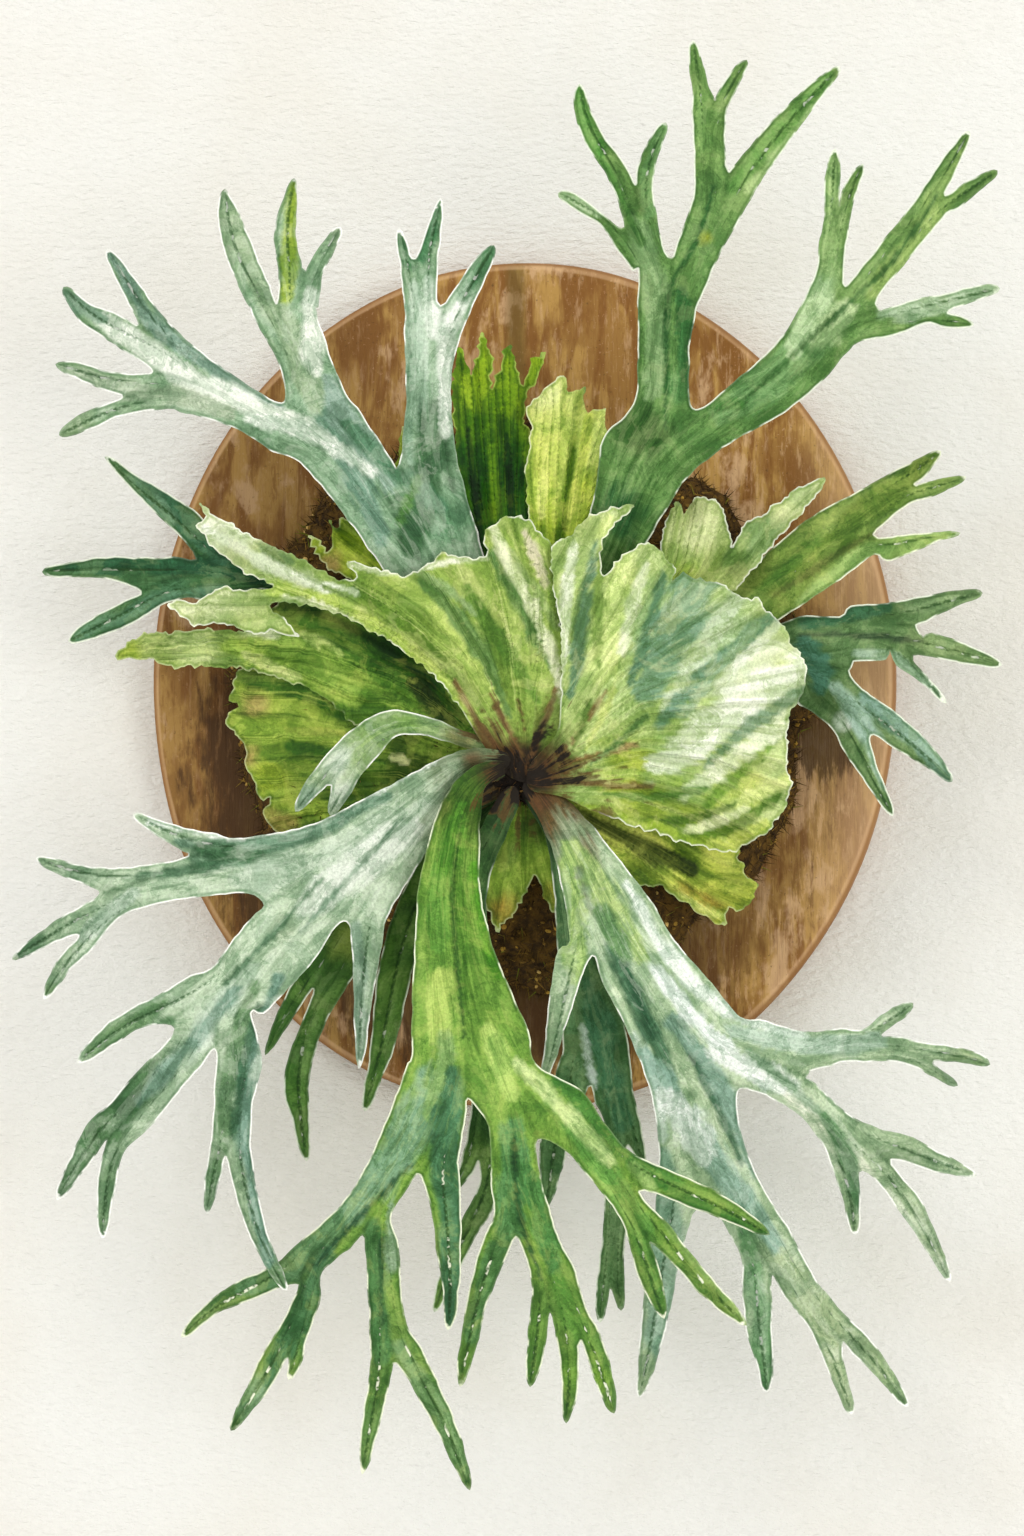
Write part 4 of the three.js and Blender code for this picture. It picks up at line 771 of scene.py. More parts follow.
@dataclass
class Leaf:
    """One leaf: a thin closed blade over a drawn outline."""

    name: str
    look: LeafLook
    spacing: float = 1.9
    thickness: float = 1.5
    edge_thickness: float = 0.45
    edge_round: float = 2.6
    seed: int = 1

    def skin(self, rim: Array) -> Skin:
        """Fills an outline with even triangles.

        Args:
            rim: The outline's corners in order.

        Returns:
            The flat mesh.
        """
        low, high = rim.min(0), rim.max(0)
        lattice = []
        for number, z in enumerate(np.arange(low[1], high[1], self.spacing * math.sqrt(0.75))):
            xs = np.arange(low[0] + (number % 2) * self.spacing / 2, high[0], self.spacing)
            lattice.append(np.column_stack([xs, np.full(len(xs), z)]))
        grid = np.concatenate(lattice)
        grid = grid[inside(grid, rim)]
        after = np.roll(rim, -1, 0)
        grid = grid[nearest(grid, rim, after).distance > self.spacing * 0.55]
        points = [Vector(point) for point in np.concatenate([rim, grid]).tolist()]
        count = len(rim)
        links = [(index, (index + 1) % count) for index in range(count)]
        flat, _, faces, *_ = geometry.delaunay_2d_cdt(points, links, [], 1, 1e-4)
        flat = np.array([tuple(point) for point in flat])
        faces = np.array([face for face in faces if len(face) == 3])
        one, two, three = (flat[faces[:, corner]] for corner in range(3))
        turn = cross(two - one, three - one)
        faces[turn < 0] = faces[turn < 0][:, ::-1]
        faces = faces[np.abs(turn) > 1e-9]
        used, faces = np.unique(faces, return_inverse=True)
        flat, faces = flat[used], faces.reshape(-1, 3)
        ways = np.concatenate([faces[:, [0, 1]], faces[:, [1, 2]], faces[:, [2, 0]]])
        keys, back = ways[:, 0] * len(flat) + ways[:, 1], ways[:, 1] * len(flat) + ways[:, 0]
        border = ways[~np.isin(keys, back)]
        edges = np.unique(np.sort(ways, 1), axis=0)
        return Skin(flat, faces, edges, nearest(flat, rim, after).distance, border)

    def wash(self, skin: Skin, along: Array, flow: Array) -> Array:
        """Lays the look's colours, patches and bands over the leaf, painted highlights and shade among them.

        Args:
            skin: The flat mesh.
            along: The share of the way from root to tip of each point.
            flow: The way along and across the leaf, in millimetres.

        Returns:
            One linear colour for each point.
        """
        look = self.look
        strokes = ripple(flow * np.array([0.16, 1.0]), 7, self.seed + 2)
        uneven = along + 0.04 * ripple(skin.flat, 30, self.seed) + 0.03 * strokes
        colour = np.array([tint(code) for code in (look.root, look.body, look.body, look.tip)])
        stops = (look.root_end * 0.4, look.root_end, look.tip_start, 1.0)
        wash = np.column_stack([np.interp(uneven, stops, channel) for channel in colour.T])
        shaky = ripple(skin.flat, 16, self.seed + 1) * 0.18 + strokes * 0.2
        thin = ripple(flow * np.array([0.07, 1.0]), 3.2, self.seed + 6)
        crowded = np.clip(from_crown(skin.flat) / 70, 0.4, 1)

        def laid(under: Array, code: int, share: float, close: Array) -> Array:
            """Lays a colour over the wash, softly as a field goes from 0 to 1."""
            close = np.clip(close, 0, 1)
            over = (share * close * close * (3 - 2 * close))[:, None]
            return under * (1 - over) + np.array(tint(code)) * over

        for x, z, reach, code, *given in look.patches:
            away = np.hypot(skin.flat[:, 0] - x, skin.flat[:, 1] - z) / reach
            wash = laid(wash, code, given[0] if given else PATCH_SHARE, 1.35 - away + shaky)
        for half, code, *knots in look.bands:
            line = soften(in_rows(knots, 2), 6)
            near = nearest_on(skin.flat, line)
            way = (near.index + near.share) / (len(line) - 1)
            taper = half * (0.4 + 0.6 * np.sqrt(np.sin(math.pi * (0.04 + 0.92 * way)))) * crowded
            wash = laid(wash, code, PATCH_SHARE, (1.3 - near.distance / taper + shaky + 0.25 * thin) / 0.55)
        return wash

    def blade(self, skin: Skin, depth: Array, along: Array, flow: Array, marks: Mapping[str, Array],
              node: str) -> bpy.types.Object:
        """Closes the blade, stores what its finish reads and lets it stand for its solid.

        Args:
            skin: The flat mesh.
            depth: How far in front of the wall each point lies.
            along: The share of the way from root to tip.
            flow: Way along and across the leaf, in millimetres.
            marks: The distance to a vein, the strength of a crease and how whole the blade is, by name.
            node: The solid that it replaces.

        Returns:
            The leaf.
        """
        round_in = np.clip(skin.edge / self.edge_round, 0, 1)
        full = np.sqrt(round_in * (2 - round_in))
        thick = self.edge_thickness + (self.thickness - self.edge_thickness) * full
        front, rear = seen(skin.flat, depth - (1 - round_in) ** 2 * 0.5), seen(skin.flat, depth)
        rear[:, 1] += thick
        count = len(skin.flat)
        walls = [(a, count + a, count + b, b) for a, b in skin.rim.tolist()]
        faces = skin.faces.tolist() + (skin.faces[:, ::-1] + count).tolist() + walls
        made = mesh_object(self.name, np.concatenate([front, rear]), faces, self.look.finish.material())
        crisp = {frozenset((a + side, b + side)) for a, b in skin.rim.tolist() for side in (0, count)}
        ends = np.empty(2 * len(made.data.edges), int)
        made.data.edges.foreach_get("vertices", ends)
        sharp = made.data.attributes.new("sharp_edge", "BOOLEAN", "EDGE")
        sharp.data.foreach_set("value", [frozenset(pair) in crisp for pair in ends.reshape(-1, 2).tolist()])
        wash = self.wash(skin, along, flow)
        under = wash * 0.5 + np.array(tint(self.look.under)) * 0.5
        opaque = np.ones((2 * count, 1))
        carry(made, "wash", "FLOAT_COLOR", np.hstack([np.concatenate([wash, under]), opaque]))
        seeded = np.column_stack([flow, np.full(count, self.seed)])
        carry(made, "flow", "FLOAT_VECTOR", np.tile(seeded, (2, 1)))
        for name, values in {"edge": skin.edge, **marks}.items():
            carry(made, name, "FLOAT", np.tile(values, 2))
        ride(made, self.look.finish.slot, node)
        return made


@dataclass(frozen=True)
class Fork:
    """Where an arm parts in two, with its notch at x and z."""

    x: float
    z: float
    first: "Arm"
    second: "Arm"


@dataclass(frozen=True)
class Arm:
    """The x, z and half width of each station, the tip's x and z or a fork, and how far the end lifts."""

    way: Sequence[float]
    end: "Sequence[float] | Fork"
    curl: float = 0.0


@dataclass(frozen=True)
class FrondPlan:
    """A frond's arms, and its depth over the distance from the crown."""

    rise: Sequence[float]
    trunk: Arm
    wave: float = 1.2


@dataclass
class RimPoint:
    """A corner of a frond's outline."""

    place: Array
    sharp: bool = False


@dataclass(frozen=True)
class Parting:
    """The fork that an arm comes from: its notch, its heading and the arm's side of it."""

    notch: Array
    heading: Array
    side: int


def way_along(rows: Array) -> Array:
    """The way from the start of a line to each of its rows."""
    return np.concatenate([[0.0], np.cumsum(np.hypot(*np.diff(rows[:, :2], axis=0).T))])


def soften(knots: Rows, reach: int) -> Array:
    """Evens rows of x, z and other values into a soft line with its ends kept.

    Args:
        knots: The rows, from the line's start to its end.
        reach: How many steps of two millimetres each row is evened over, to both sides.

    Returns:
        Rows two millimetres apart, with the way from the start added.
    """
    rows = np.array(knots, float)
    way = way_along(rows)
    places = np.linspace(0, way[-1], max(reach + 2, round(way[-1] / 2)))
    rows = np.column_stack([np.interp(places, way, column) for column in rows.T])
    share = np.full(2 * reach + 1, 1 / (2 * reach + 1))
    for _ in range(2):
        padded = np.concatenate([2 * rows[0] - rows[reach:0:-1], rows, 2 * rows[-1] - rows[-2:-reach - 2:-1]])
        rows = np.column_stack([np.convolve(column, share, "valid") for column in padded.T])
    return np.column_stack([rows, way_along(rows)])


@dataclass
class Frond(Leaf):
    """A forked antler frond."""

    plan: FrondPlan | None = None
    node: str = ""
    notch_room: float = 1.5
    rim_span: float = 2.4
    arch: float = 0.16
    spread: float = 0.8
    stream_room: float = 6.0
    crease_reach: float = 34.0
    tip_fullness: float = 1.9
    rim_points: list[RimPoint] = field(default_factory=list)
    creases: list[Array] = field(default_factory=list)

    def walk(self, part: Arm, lift: float, parting: Parting | None) -> list[list[list[float]]]:
        """Walks once round an arm and its forks, keeping its rim and its creases.

        Args:
            part: The arm.
            lift: How far its root lifts.
            parting: The fork that it comes from.

        Returns:
            For each tip, from the left to the right, rows of x, z, lift and vein strength.
        """
        forks = isinstance(part.end, Fork)
        goal = np.array((part.end.x, part.end.z) if forks else part.end, float)
        stations = in_rows(part.way, 3)
        places, widths = list(stations[:, :2]), stations[:, 2]
        steps = [float(np.hypot(*(two - one))) for one, two in zip(places, places[1:] + [goal])]
        lengths = np.concatenate([[0.0], np.cumsum(steps)])
        lifts = [lift + part.curl * (length / lengths[-1]) ** 2 for length in lengths]
        sideways = []
        for index, place in enumerate(places):
            last = index == len(places) - 1
            ahead = place if last and forks and index > 0 else (goal if last else places[index + 1])
            way = ahead - places[max(index - 1, 0)]
            sideways.append(np.array([-way[1], way[0]]) / np.hypot(*way))

        def edge(sign: int) -> list[RimPoint]:
            """One side's rim points, past the notch where it is an inner side."""
            rims = [place + sign * out * width for place, out, width in zip(places, sideways, widths)]
            if parting is not None and parting.side != sign:
                past = [cross(rim - parting.notch, out) > self.notch_room
                        and parting.side * cross(parting.heading, rim - parting.notch) > 0
                        for rim, out in zip(rims, sideways)]
                rims = rims[past.index(True):] if True in past else []
            return [RimPoint(rim) for rim in rims]

        self.rim_points += edge(1)
        if not forks:
            self.rim_points += [RimPoint(goal, True), *edge(-1)[::-1]]
            return [[[*place, high, 1.0] for place, high in zip(places + [goal], lifts)]]
        heading = (goal - places[-1]) / np.hypot(*(goal - places[-1]))
        left, right = sorted((part.end.first, part.end.second), reverse=True,
                             key=lambda child: cross(heading, np.array(child.way[:2]) - places[-1]))
        trails = self.walk(left, lifts[-1], Parting(goal, heading, 1))
        part_at = len(trails)
        self.rim_points.append(RimPoint(goal))
        trails += self.walk(right, lifts[-1], Parting(goal, heading, -1))
        self.rim_points += edge(-1)[::-1]
        count = len(trails)

        def across(share: float) -> list[Array]:
            """The arm's stations moved sideways, for a share from left to right."""
            return [place + out * (width * self.spread * (1 - 2 * share))
                    for place, out, width in zip(places, sideways, widths)]

        self.creases.append(soften([goal, *across(part_at / count)[::-1]], 3))
        strength = count**-0.6
        starts = [[[*place, high, strength] for place, high in zip(across((number + 0.5) / count), lifts)]
                  for number in range(count)]
        return [start + trail for start, trail in zip(starts, trails)]

    def outline(self) -> Array:
        """The rim with points added so that it bends smoothly and its tips stay full.

        Returns:
            The outline's corners in order.
        """
        rim, count, out = self.rim_points, len(self.rim_points), []
        for index, here in enumerate(rim):
            after = rim[(index + 1) % count]
            before = here if here.sharp else rim[index - 1]
            beyond = after if after.sharp else rim[(index + 2) % count]
            way = after.place - here.place
            length = float(np.hypot(*way))
            full = min(self.tip_fullness, 0.13 * length) if here.sharp or after.sharp else 0.0
            outward = np.array([-way[1], way[0]]) / max(length, 1e-6) * full
            pieces = max(1, round(length / self.rim_span))
            for t in (piece / pieces for piece in range(pieces)):
                near_tip = (1 - t if here.sharp else t) ** 2
                bulge = 4 * t * (1 - t) * (0.4 + near_tip)
                out.append(bend(before.place, here.place, after.place, beyond.place, t) + outward * bulge)
        return np.array(out)

    def fray(self, rim: Array) -> Array:
        """Lets an outline waver a little, as a grown margin does."""
        after, before = np.roll(rim, -1, 0), np.roll(rim, 1, 0)
        way = after - before
        way /= np.maximum(np.hypot(way[:, 0], way[:, 1]), 1e-6)[:, None]
        out = np.column_stack([way[:, 1], -way[:, 0]])
        turn = np.abs(cross(after - rim, rim - before))
        calm = np.clip(1.2 - turn / (self.rim_span**2 * 0.5), 0, 1)
        waver = 0.3 * ripple(rim, 13, self.seed) + 0.12 * ripple(rim, 5, self.seed + 3)
        return rim + out * (calm * waver)[:, None]

    def stream(self, skin: Skin, trails: list[Array]) -> tuple[Array, Array, Array]:
        """Reads the streams at each point.

        Args:
            skin: The flat mesh.
            trails: Rows of x, z, lift, strength and way for each tip, from the left to the right.

        Returns:
            The nearest row of each point, its distance and its even place across the streams.
        """
        order, count = np.arange(len(skin.flat)), len(trails)
        nears = [nearest_on(skin.flat, rows) for rows in trails]
        read = np.array([rows[near.index] + (rows[near.index + 1] - rows[near.index]) * near.share[:, None]
                         for rows, near in zip(trails, nears)])
        gaps = np.array([near.distance for near in nears])
        first = gaps.argmin(0)
        side = np.array([near.side for near in nears])[first, order]
        other = (first - side).astype(int)
        here = gaps[first, order]
        held = np.clip(other, 0, count - 1)
        there = np.where(other == held, gaps[held, order], np.inf)
        share = np.maximum(here / (here + there + 1e-6), 0.5 * here / (here + skin.edge + 1e-6))
        return read[first, order], here, first - side * share

    def build(self) -> bpy.types.Object:
        """Makes the frond.

        Returns:
            The frond.
        """
        trails = [soften(trail, 5) for trail in self.walk(self.plan.trunk, 0.0, None)]
        skin = self.skin(self.fray(self.outline()))
        rows, gap, even = self.stream(skin, trails)
        lift = relax(rows[:, 2], skin.edges, 14)
        arch = relax(self.arch * skin.edge, skin.edges, 6)
        base = level(self.plan.rise, from_crown(skin.flat))
        wave = np.sin(skin.flat[:, 0] * 0.11 + skin.flat[:, 1] * 0.09) * np.clip(1 - skin.edge / 9, 0, 1)
        uneven = 0.5 * ripple(skin.flat, 21, self.seed + 5) * np.clip(skin.edge / 5, 0, 1)
        # Creases run up the blade from each fork: a groove in the depth, and painted shade in the finish.
        crease = np.zeros(len(skin.flat))
        for line in self.creases:
            near = nearest_on(skin.flat, line)
            fade = np.clip(1 - line[near.index, 2] / self.crease_reach, 0, 1)
            crease = np.maximum(crease, fade * np.exp(-((near.distance / (0.8 + 1.6 * (1 - fade))) ** 2)))
        middle = np.exp(-((gap / 2.0) ** 2)) * rows[:, 3] * np.clip((skin.edge - 2) / 5, 0, 1)
        depth = base + lift + arch + self.plan.wave * wave + uneven - 0.6 * middle - 0.9 * crease
        flow = np.column_stack([rows[:, 4], even * self.stream_room])
        marks = {"vein": gap + 1.6 * (1 - rows[:, 3]), "crease": crease,
                 "single": relax(rows[:, 3] ** 2, skin.edges, 3)}
        return self.blade(skin, depth, rows[:, 4] / rows[:, 4].max(), flow, marks, self.node)


@dataclass(frozen=True)
class ShieldPlan:
    """A shield's veins, each as x, z and depth of its knots, its rim as x and z, and its pleats."""

    veins: Rows
    rim: Sequence[float]
    pleats: float
    pleat_height: float
    flutter: float = 0.0


@dataclass
class Shield(Leaf):
    """A pleated shield frond that hugs the mound."""

    plan: ShieldPlan | None = None
    node: str = ""
    spacing: float = 1.7
    thickness: float = 1.6
    rim_span: float = 1.6
    softness: float = 1.5
    outer_room: float = 24.0
    ribs: float = SHIELD_RIBS
    rib_height: float = 1.5
    frill: float = 0.95
    ruffle: float = 2.6

    def outline(self) -> Array:
        """The rim, rounded between its corners and finely frilled.

        Returns:
            The outline's corners in order.
        """
        rim = in_rows(self.plan.rim, 2)
        count, out = len(rim), []
        for index in range(count):
            here, after = rim[index], rim[(index + 1) % count]
            pieces = max(1, round(float(np.hypot(*(after - here))) / self.rim_span))
            out += [bend(rim[index - 1], here, after, rim[(index + 2) % count], piece / pieces)
                    for piece in range(pieces)]
        smooth = np.array(out)
        way = np.roll(smooth, -1, 0) - np.roll(smooth, 1, 0)
        way /= np.maximum(np.hypot(*way.T), 1e-6)[:, None]
        size = self.frill * np.clip((from_crown(smooth) - 30) / 30, 0, 1)
        wobble = ripple(smooth, 7, self.seed) + 0.6 * ripple(smooth, 3.4, self.seed + 2)
        return smooth + np.column_stack([way[:, 1], -way[:, 0]]) * (size * wobble)[:, None]

    def lie(self, flat: Array) -> tuple[Array, Array, Array]:
        """Reads the veins at each point.

        Args:
            flat: Places, one row each.

        Returns:
            The depth, the share of the way along and the even place across.
        """
        nears, depths, alongs = [], [], []
        for vein in self.plan.veins:
            rows = in_rows(vein, 3)
            near = nearest_on(flat, rows)
            nears.append(near)
            depths.append(rows[near.index, 2] + (rows[near.index + 1, 2] - rows[near.index, 2]) * near.share)
            alongs.append((near.index + near.share) / (len(rows) - 1))
        gaps = np.array([near.distance for near in nears])
        weight = (gaps + self.softness) ** -3.0
        weight /= weight.sum(0)
        blend = (weight * np.arange(len(nears))[:, None]).sum(0)
        depth = (weight * np.array(depths)).sum(0)
        along = (weight * np.array(alongs)).sum(0)
        fold = np.cos(math.tau * self.plan.pleats * blend)
        ripples = np.sin(flat[:, 0] * 0.13 + flat[:, 1] * 0.1)
        depth += self.plan.pleat_height * along * fold + self.plan.flutter * along**3 * ripples
        first, rows = gaps.argmin(0), np.arange(len(flat))
        side = -np.array([near.side for near in nears])[first, rows]
        other = np.clip(first + side, 0, len(nears) - 1).astype(int)
        room = np.where(other == first, self.outer_room, gaps[other, rows] + gaps[first, rows])
        even = first + side * gaps[first, rows] / np.maximum(room, 0.5)
        return depth, along, even

    def build(self) -> bpy.types.Object:
        """Makes the shield.

        Returns:
            The shield.
        """
        skin = self.skin(self.outline())
        depth, along, even = self.lie(skin.flat)
        even = relax(even, skin.edges, 3)
        grow = np.clip(along, 0, 1)
        rib = np.cos(math.tau * self.ribs * even)
        depth = depth + self.rib_height * grow**0.7 * rib * np.clip((along - 0.12) * 4, 0, 1)
        frill = ripple(skin.flat, 9, self.seed + 7) * np.clip(1 - skin.edge / 7, 0, 1) ** 1.5
        ruffled = ripple(skin.flat, 30, self.seed + 4) * np.clip(1 - skin.edge / 26, 0, 1)
        depth += (1.2 * frill + self.ruffle * ruffled) * grow + 0.4 * ripple(skin.flat, 15, self.seed + 8)
        depth = relax(depth, skin.edges, 2)
        away = from_crown(skin.flat)
        flow = np.column_stack([away, even * FOLD_WIDTH])
        vein = (np.abs(((even * self.ribs + 0.5) % 1.0) - 0.5) * FOLD_WIDTH / self.ribs
                + np.clip(6 - away / 10, 0, 6))
        # The crease mark lies in the valleys between the ribs, where the finish paints shade.
        marks = {"vein": vein, "crease": np.clip(-rib, 0, 1) ** 3 * np.clip(1.3 - along, 0, 1) * 0.6,
                 "single": grow}
        return self.blade(skin, depth, away / away.max(), flow, marks, self.node)


# ---- Plaque, moss and crown ----


class Growth(Enum):
    """What grows or lies on a surface."""

    FIBRE = "fibre"
    SCALE = "scale"
    CRUMB = "crumb"


@dataclass(frozen=True)
class Scatter:
    """Small bodies spread over a surface, with their sizes in millimetres."""

    growth: Growth
    density: float
    length: float
    width: float
    lean: float
    flatness: float
    seed: int

    def tree(self, material: bpy.types.Material) -> bpy.types.NodeTree:
        """Builds the node tree that spreads the bodies.

        Args:
            material: The bodies' material.

        Returns:
            The tree.
        """
        made = bpy.data.node_groups.new(f"spread_{self.growth.value}", "GeometryNodeTree")
        face = made.interface
        face.new_socket("Surface", in_out="INPUT", socket_type="NodeSocketGeometry")
        for name in ("Density", "Length", "Width", "Lean", "Flatness"):
            face.new_socket(name, in_out="INPUT", socket_type="NodeSocketFloat")
        face.new_socket("Seed", in_out="INPUT", socket_type="NodeSocketInt")
        face.new_socket("Bodies", in_out="OUTPUT", socket_type="NodeSocketGeometry")
        graph = Graph(made)
        entry = graph.node("NodeGroupInput")
        given = {socket.name: Expr(graph, socket) for socket in entry.outputs}
        points = graph.node("GeometryNodeDistributePointsOnFaces", None,
                            {"Mesh": given["Surface"], "Density": given["Density"], "Seed": given["Seed"]})
        if self.growth is Growth.CRUMB:
            body = graph.out("GeometryNodeMeshIcoSphere", None, {"Radius": given["Width"], "Subdivisions": 1})
        else:
            body = graph.out("GeometryNodeMeshCone", {"fill_type": "TRIANGLE_FAN"}, {
                "Vertices": 4, "Side Segments": 2, "Radius Top": 0.0, "Radius Bottom": given["Width"],
                "Depth": given["Length"]})
        sway = graph.out("FunctionNodeRandomValue", {"data_type": "FLOAT_VECTOR"},
                         {0: (-1, -1, -1), 1: (1, 1, 1), "Seed": given["Seed"]})
        leaning = graph.out("ShaderNodeVectorMath", {"operation": "SCALE"}, {0: sway, "Scale": given["Lean"]})
        way = graph.out("ShaderNodeVectorMath", {"operation": "ADD"},
                        {0: Expr(graph, points.outputs["Normal"]), 1: leaning})
        turn = graph.out("FunctionNodeAlignRotationToVector", {"axis": "Z"}, {"Vector": way})
        size = graph.out("FunctionNodeRandomValue", {"data_type": "FLOAT"},
                         {2: 0.45, 3: 1.2, "Seed": self.seed + 1}, 1)
        flat = graph.math("MULTIPLY", size, given["Flatness"])
        sizes = graph.out("ShaderNodeCombineXYZ", None, {0: size, 1: flat, 2: size})
        placed = graph.out("GeometryNodeInstanceOnPoints", None, {
            "Points": Expr(graph, points.outputs["Points"]), "Instance": body, "Rotation": turn,
            "Scale": sizes})
        tone = graph.out("FunctionNodeRandomValue", {"data_type": "FLOAT"}, {"Seed": self.seed + 2}, 1)
        toned = graph.out("GeometryNodeStoreNamedAttribute", {"data_type": "FLOAT", "domain": "INSTANCE"},
                          {"Geometry": placed, "Name": "tone", "Value": tone})
        real = graph.out("GeometryNodeRealizeInstances", None, {"Geometry": toned})
        dressed = graph.out("GeometryNodeSetMaterial", None, {"Geometry": real, "Material": material})
        graph.node("NodeGroupOutput", None, {0: dressed})
        return made

    def grow(self, name: str, surface: bpy.types.Object, material: bpy.types.Material,
             slot: str) -> bpy.types.Object:
        """Spreads the bodies over a surface and turns them into a plain mesh.

        Args:
            name: The new object's name.
            surface: What they stand on.
            material: Their material.
            slot: The slot of that material; not used.

        Returns:
            The bodies as one object.
        """
        carrier = linked(f"{name}_carrier", surface.data.copy())
        modifier = carrier.modifiers.new("spread", "NODES")
        modifier.node_group = self.tree(material)
        values = {"Density": self.density, "Length": self.length * MM, "Width": self.width * MM,
                  "Lean": self.lean, "Flatness": self.flatness, "Seed": self.seed}
        for item in modifier.node_group.interface.items_tree:
            if item.in_out == "INPUT" and item.name in values:
                modifier[item.identifier] = values[item.name]
        mesh = applied(carrier, modifier)
        bpy.data.objects.remove(carrier)
        made = linked(name, mesh)
        mesh.name = name
        ride(made, slot)
        return made


def stack(rings: Sequence[Array]) -> tuple[Array, list[tuple[int, ...]]]:
    """Stacks rings of points from the back to the front and closes both ends at a middle point.

    Args:
        rings: Rings of equal counts, anticlockwise as seen from the front.

    Returns:
        The points and faces.
    """
    count, whole = len(rings[0]), len(rings) * len(rings[0])
    faces = []
    for ring in range(len(rings) - 1):
        for side in range(count):
            a, b = ring * count + side, ring * count + (side + 1) % count
            faces.append((a, b, b + count, a + count))
    faces += [(whole, (side + 1) % count, side) for side in range(count)]
    last = whole - count
    faces += [(whole + 1, last + side, last + (side + 1) % count) for side in range(count)]
    return np.concatenate([*rings, rings[0].mean(0)[None], rings[-1].mean(0)[None]]), faces


@dataclass
class Plaque:
    """The oval board with its rounded front edge and the bed of the keyhole hanger."""

    width: float = 373.0
    height: float = 425.0
    thickness: float = 22.0
    rounding: float = 5.0
    chamfer: float = 1.5
    sides: int = 192
    hanger_up: float = 140.0
    plate: tuple[float, float, float] = (24.0, 66.0, 2.5)
    play: float = 0.3
    head_room: tuple[float, float, float] = (16.0, 30.0, 10.0)
    screw_offset: float = 26.0
    screw_radius: float = 1.6
    screw_length: float = 12.0
    past: float = 1.0

    def ring(self, inset: float, depth: float) -> Array:
        """An oval ring of points at a depth in front of the wall."""
        turn = np.linspace(0, math.tau, self.sides, endpoint=False)
        uneven = 1 + 0.0012 * np.sin(5 * turn + 1) + 0.0009 * np.sin(11 * turn)
        xs = (self.width / 2 - inset) * uneven * np.cos(turn)
        zs = (self.height / 2 - inset) * uneven * np.sin(turn)
        return np.column_stack([xs, np.full(self.sides, -depth), zs])

    def board(self) -> bpy.types.Object:
        """Makes the board and cuts the hanger's bed into its back.

        Returns:
            The board.
        """
        rings = [self.ring(self.chamfer, 0), self.ring(0, self.chamfer)]
        for angle in np.radians(np.linspace(0, 90, 9)):
            inset = self.rounding * (1 - math.cos(angle))
            rings.append(self.ring(inset, self.thickness - self.rounding * (1 - math.sin(angle))))
        rings += [self.ring(inset, self.thickness) for inset in (12.0, 40.0, 90.0)]
        finish = WoodFinish("plaque_wood", base=0xBA904C, dark=0x865822, light=0xD8B084, stain_and_shade=0x3A2408,
                            damp=0x6A5622, half_width=self.width / 2, half_height=self.height / 2,
                            bed_radius=MossBed.radius)
        points, faces = stack(rings)
        made = mesh_object("plaque", points, faces, finish.material())
        for cutter in self.cutters():
            cut = made.modifiers.new("cut", "BOOLEAN")
            cut.operation, cut.solver, cut.object = "DIFFERENCE", "EXACT", cutter
            made.data = applied(made, cut)
            bpy.data.objects.remove(cutter)
        made.data.name = made.name
        made.data.set_sharp_from_angle(angle=math.radians(40))
        ride(made, "board_wood", "board")
        return made

    def cutters(self) -> list[bpy.types.Object]:
        """The bodies that are cut from the back: bed, head room and two screw holes."""
        wide, long, thick = self.plate
        bed = (wide + 2 * self.play, long + 2 * self.play, thick + self.play)
        made = [self.prism(name, 4, across / math.sqrt(2), up / math.sqrt(2), self.hanger_up, deep)
                for name, (across, up, deep) in (("bed", bed), ("room", self.head_room))]
        for offset in (-self.screw_offset, self.screw_offset):
            up = self.hanger_up + offset
            hole = self.screw_radius + self.play
            made.append(self.prism("hole", 16, hole, hole, up, self.screw_length + self.play))
        return made

    def prism(self, name: str, sides: int, across: float, up: float, middle: float,
              deep: float) -> bpy.types.Object:
        """A cutter with straight sides that runs out of the back."""
        turn = np.linspace(0, math.tau, sides, endpoint=False) + math.pi / sides
        ring = np.column_stack([across * np.cos(turn), np.zeros(sides), middle + up * np.sin(turn)])
        rings = [ring + np.array([0, self.past, 0]), ring + np.array([0, -deep, 0])]
        points, faces = stack(rings)
        return mesh_object(name, points, faces, bpy.data.materials.new(name))

    def dress_hanger(self) -> None:
        """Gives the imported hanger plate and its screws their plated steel."""
        plate, screw, dull = 0xC4C5C0, 0xBAB8AE, 0x929492
        for name, base in (("hanger_plate", plate), ("hanger_screw_1", screw), ("hanger_screw_2", screw)):
            material = SteelFinish(f"{name}_steel", base, dull).material()
            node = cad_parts[name]
            node.data.materials.clear()
            node.data.materials.append(material)
            LOG.info("%s: packed solid, dressed", name)


